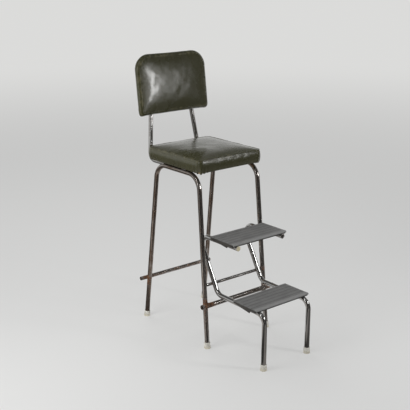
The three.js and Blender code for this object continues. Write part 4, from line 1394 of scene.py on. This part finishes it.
def dress_node(node, material, bevel):
    """Gives a CAD piece its material and eases its edges."""
    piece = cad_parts[node]
    if piece.data.has_custom_normals:
        with bpy.context.temp_override(object=piece, active_object=piece):
            bpy.ops.mesh.customdata_custom_splitnormals_clear()
    piece.data.materials.clear()
    piece.data.materials.append(material)
    piece.data.shade_smooth()
    weld = piece.modifiers.new("join", "WELD")
    weld.merge_threshold = 0.00001
    edges = piece.modifiers.new("ease", "BEVEL")
    edges.width = bevel
    edges.segments = 2
    edges.limit_method = "ANGLE"
    edges.angle_limit = math.radians(35)
    edges.harden_normals = True


# Hardware and boards


class STOOL_OT_hardware(bpy.types.Operator):
    """Builds the screws and bolts and finishes the straps and boards"""
    bl_idname = "stool.hardware"
    bl_label = "Hardware and boards"

    def execute(self, context):
        scene = context.scene
        steel = bare_steel(scene)
        wood = material_of("grained_plywood", lambda: plywood(scene.stool_fittings))
        for node in ("front_seat_strap", "rear_seat_strap"):
            dress_node(node, steel, bevel=0.0004)
        for node in ("seat_board", "backrest_board"):
            dress_node(node, wood, bevel=0.0008)
        forward = Vector((0, -math.cos(BACK_LEAN), math.sin(BACK_LEAN)))
        # Across the shank, across the head, height of the head
        screw, bolt = (0.0045, 0.009, 0.0024), (0.006, 0.012, 0.0032)
        for row in ("front", "rear"):
            for label, _ in SIDES:
                self.fastener(f"seat_screw_{row}_{label}", *screw, Z_AXIS, steel)
                self.fastener(f"back_post_bolt_{row}_{label}", *bolt, Z_AXIS, steel)
        for row in ("lower", "upper"):
            for label, _ in SIDES:
                self.fastener(f"backrest_screw_{row}_{label}", *screw, forward, steel)
        return {"FINISHED"}

    def fastener(self, node, shank, head, head_height, direction, material):
        """A domed head with a cross recess, and a shank that points along direction."""
        low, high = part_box(node)
        half_length = self.half_length(high - low, direction, head)
        start, sides, threads, thread_depth = -half_length, 32, 10, 0.0004
        neck = start + head_height
        profile = [(0, start)]
        for share in (0.12, 0.24, 0.36, 0.48, 0.62, 0.78, 0.92, 1.0):
            dome = head_height * (1 - math.sqrt(max(0, 1 - share ** 2))) * 0.75
            profile.append((head / 2 * share, start + dome))
        profile += [(head / 2, neck), (shank / 2, neck)]
        length = 2 * half_length - head_height
        for i in range(threads * 2):
            radius = shank / 2 - thread_depth * (i % 2)
            profile.append((radius, neck + length * (0.1 + 0.85 * i / (threads * 2))))
        points, faces = turned(profile + [(0, half_length)], sides)
        turn = (Matrix.Translation((low + high) / 2)
                @ direction.to_track_quat("Z", "X").to_matrix().to_4x4())
        points = [turn @ self.recess(Vector(p), head, start) for p in points]
        mesh = make_mesh(f"{node}_steel", points, faces, sharp=45)
        add_piece(f"{node}_steel", mesh, material, "frame", "plain_steel", node)

    def half_length(self, extent, direction, head):
        """Half the fastener's length, from the box of a turned shape that may lean."""
        if direction is Z_AXIS:
            return extent.z / 2
        lean = math.atan2(abs(direction.z), abs(direction.y))
        return (extent.y - head * math.sin(lean) / 2) / math.cos(lean) / 2

    def recess(self, point, head, start):
        """Pushes in the points of the head's face that lie in its cross."""
        half_width, reach, depth = head * 0.09, head * 0.27, head * 0.12
        in_cross = (min(abs(point.x), abs(point.y)) < half_width
                    and math.hypot(point.x, point.y) < reach)
        if in_cross and point.z < start + head * 0.2:
            point.z += depth
        return point


# Studio


class STOOL_OT_studio(bpy.types.Operator):
    """Sets out the plain floor, backdrop, lamps and camera"""
    bl_idname = "stool.studio"
    bl_label = "Studio"

    def execute(self, context):
        scene = context.scene
        studio = scene.stool_studio
        self.floor(scene, studio)
        self.world(scene, studio)
        self.cards(scene)
        # name, place, size, what it looks at, power, whether gloss shows it
        lamps = (
            ("key_lamp", (-1.5, 0.15, 1.15), (0.8, 1.3), (0, 0, 0.75), studio.key, False),
            ("top_lamp", (0.2, 1.9, 2.7), (1.8, 1.8), (0, 0, 0.6), studio.top, False),
            ("ceiling_lamp", (-1.2, -0.6, 2.6), (0.25, 0.25), (0, 0, 0.7), studio.strip * 0.8, True),
            ("strip_lamp", (-1.55, -0.35, 1.15), (0.10, 1.3), (0, 0, 0.7), studio.strip, True),
            ("window_lamp", (0.75, -1.39, 1.14), (0.22, 0.50), (0, 0.1, 1.0), studio.window, True),
            ("side_window_lamp", (1.13, -1.19, 1.12), (0.09, 0.42), (0, 0.1, 1.0), studio.window * 0.03,
             True),
        )
        for name, place, extent, target, power, glossy in lamps:
            lamp = bpy.data.lights.new(name, "AREA")
            lamp.shape = "RECTANGLE"
            lamp.size, lamp.size_y = extent
            lamp.energy = power
            holder = self.aimed(scene, name, lamp, Vector(place), Vector(target))
            holder.visible_camera = False
            holder.visible_glossy = glossy
        self.camera(scene)
        scene.view_settings.view_transform = "Standard"
        return {"FINISHED"}

    def aimed(self, scene, name, data, place, target):
        """A lamp or camera that looks at a target."""
        holder = bpy.data.objects.new(name, data)
        holder.location = place
        holder.rotation_euler = (target - place).to_track_quat("-Z", "Y").to_euler()
        scene.collection.objects.link(holder)
        return holder

    def staged(self, scene, name, mesh, material):
        """A part of the studio, which isn't part of the stool."""
        mesh.materials.append(material)
        thing = bpy.data.objects.new(name, mesh)
        scene.collection.objects.link(thing)
        return thing

    def seen_as_backdrop(self, bench):
        """1 for rays that look at the backdrop directly, in metal or through glass."""
        path = bench.add("LightPath").outputs
        seen = bench.sum("MAXIMUM", path["Is Camera Ray"], path["Is Glossy Ray"])
        return bench.sum("MAXIMUM", seen, path["Is Transmission Ray"])

    def cards(self, scene):
        """Dark cards round the front that only gloss sees, so that plating shows dark cores."""
        steps, just_up, standing_radius, standing_height = 130, 0.004, 1.7, 2.3
        # How light the cards are at each angle round the stool, in degrees
        stops = ((105, 0.10), (150, 0.14), (162, 0.36), (184, 0.40), (204, 0.26), (214, 0.04),
                 (242, 0.025), (250, 0.22), (266, 0.24), (276, 0.04), (312, 0.14), (355, 0.25))
        standing = ((standing_radius, just_up), (standing_radius, standing_height))
        lying = ((0.2, just_up), (3.4, just_up))
        for name, rims, lightness, start in (("standing_card", standing, 0.9, 162),
                                             ("floor_card", lying, 1.5, 105)):
            points, tones = [], []
            for angle in np.linspace(start, stops[-1][0], steps + 1):
                x, y = math.cos(math.radians(angle)), math.sin(math.radians(angle))
                points += [(radius * x, radius * y, level) for radius, level in rims]
                tones += [lightness * np.interp(angle, *zip(*stops))] * 2
            faces = [(2 * i, 2 * i + 2, 2 * i + 3, 2 * i + 1) for i in range(steps)]
            material, bench, shader = new_material(name)
            tone = bench.blend(bench.value_at_points("tone"), (0, 0, 0), (1.0, 0.93, 0.86))
            bench.put(shader.inputs["Base Color"], tone)
            shader.inputs["Roughness"].default_value = 1.0
            card = self.staged(scene, name, make_mesh(name, points, faces, {"tone": tones}), material)
            for rays in ("camera", "diffuse", "transmission", "volume_scatter", "shadow"):
                setattr(card, f"visible_{rays}", False)

    def floor(self, scene, studio):
        """A plain floor that keeps shadows near the stool and meets the backdrop's colour far off."""
        reach = 60.0
        points = [(x * reach, y * reach, 0) for x, y in CORNERS]
        material, bench, shader = new_material("pale_floor")
        bench.put(shader.inputs["Base Color"], studio.backdrop)
        shader.inputs["Roughness"].default_value = 0.9
        shader.inputs["Specular IOR Level"].default_value = 0.1
        glow = bench.add("Emission", {"Color": studio.backdrop, "Strength": 1.0})
        away = bench.add("VectorMath", {0: bench.own_place()}, operation="LENGTH").outputs["Value"]
        share = bench.times(self.seen_as_backdrop(bench), bench.remap(away, 1.0, 9.0, 0.5, 1.0))
        mix = bench.add("MixShader", {0: share, 1: shader.outputs[0], 2: glow.outputs[0]})
        output = next(n for n in bench.tree.nodes if n.type == "OUTPUT_MATERIAL")
        bench.tree.links.new(mix.outputs[0], output.inputs[0])
        self.staged(scene, "floor", make_mesh("floor", points, [(0, 1, 2, 3)]), material)

    def world(self, scene, studio):
        """Even light from all round. Metal sees the pale backdrop, which darkens towards the ceiling."""
        world = bpy.data.worlds.new("studio")
        world.use_nodes = True
        tree = world.node_tree
        tree.nodes.clear()
        bench = NodeBench(tree)
        direction = bench.add("TexCoord").outputs["Generated"]
        up = bench.add("SeparateXYZ", {0: direction}).outputs["Z"]
        seen = bench.remap(up, 0.19, 0.60, 1.0, 0.20)
        backdrop = bench.add("Background", {"Color": studio.backdrop, "Strength": seen})
        ambient = bench.add("Background", {"Color": (0.97, 0.98, 1.0), "Strength": studio.ambient})
        mix = bench.add("MixShader", {0: self.seen_as_backdrop(bench), 1: ambient.outputs[0],
                                      2: backdrop.outputs[0]})
        output = bench.add("OutputWorld")
        tree.links.new(mix.outputs[0], output.inputs[0])
        scene.world = world

    def camera(self, scene):
        """The photograph's viewing angle: a 75 mm lens, about 3.3 m away."""
        eye, target = Vector((-2.1089, -2.4424, 1.5042)), Vector((-0.0989, 0.0032, 0.5580))
        lens = bpy.data.cameras.new("camera")
        lens.lens = 74.63
        lens.clip_end = 100
        scene.camera = self.aimed(scene, "camera", lens, eye, target)


class STOOL_PT_panel(bpy.types.Panel):
    """Lists the stool's pieces and their sizes"""
    bl_idname = "STOOL_PT_panel"
    bl_label = "Step stool chair"
    bl_space_type = "VIEW_3D"
    bl_region_type = "UI"
    bl_category = "Step stool"

    def draw(self, context):
        for group in GROUPS:
            settings = getattr(context.scene, group)
            box = self.layout.box()
            for key in settings.__annotations__:
                box.prop(settings, key)
        for operator in OPERATORS:
            self.layout.operator(operator.bl_idname)


GROUPS = {
    "stool_tubes": StoolTubes,
    "stool_padding": StoolPadding,
    "stool_treads": StoolTreads,
    "stool_fittings": StoolFittings,
    "stool_studio": StoolStudio,
}
OPERATORS = (
    STOOL_OT_frames, STOOL_OT_crossbars, STOOL_OT_posts, STOOL_OT_step_tubes, STOOL_OT_tips,
    STOOL_OT_seat, STOOL_OT_back, STOOL_OT_treads, STOOL_OT_hardware, STOOL_OT_studio,
)


def register():
    for kind in (*GROUPS.values(), *OPERATORS, STOOL_PT_panel):
        bpy.utils.register_class(kind)
    for name, kind in GROUPS.items():
        setattr(bpy.types.Scene, name, PointerProperty(type=kind))


def unregister():
    for name in GROUPS:
        delattr(bpy.types.Scene, name)
    for kind in reversed((*GROUPS.values(), *OPERATORS, STOOL_PT_panel)):
        bpy.utils.unregister_class(kind)


def main():
    register()
    bpy.ops.stool.side_frames()
    bpy.ops.stool.crossbars()
    bpy.ops.stool.back_posts()
    bpy.ops.stool.step_tubes()
    bpy.ops.stool.rubber_tips()
    bpy.ops.stool.seat()
    bpy.ops.stool.back()
    bpy.ops.stool.treads()
    bpy.ops.stool.hardware()
    bpy.ops.stool.studio()


if __name__ == "__main__":
    main()
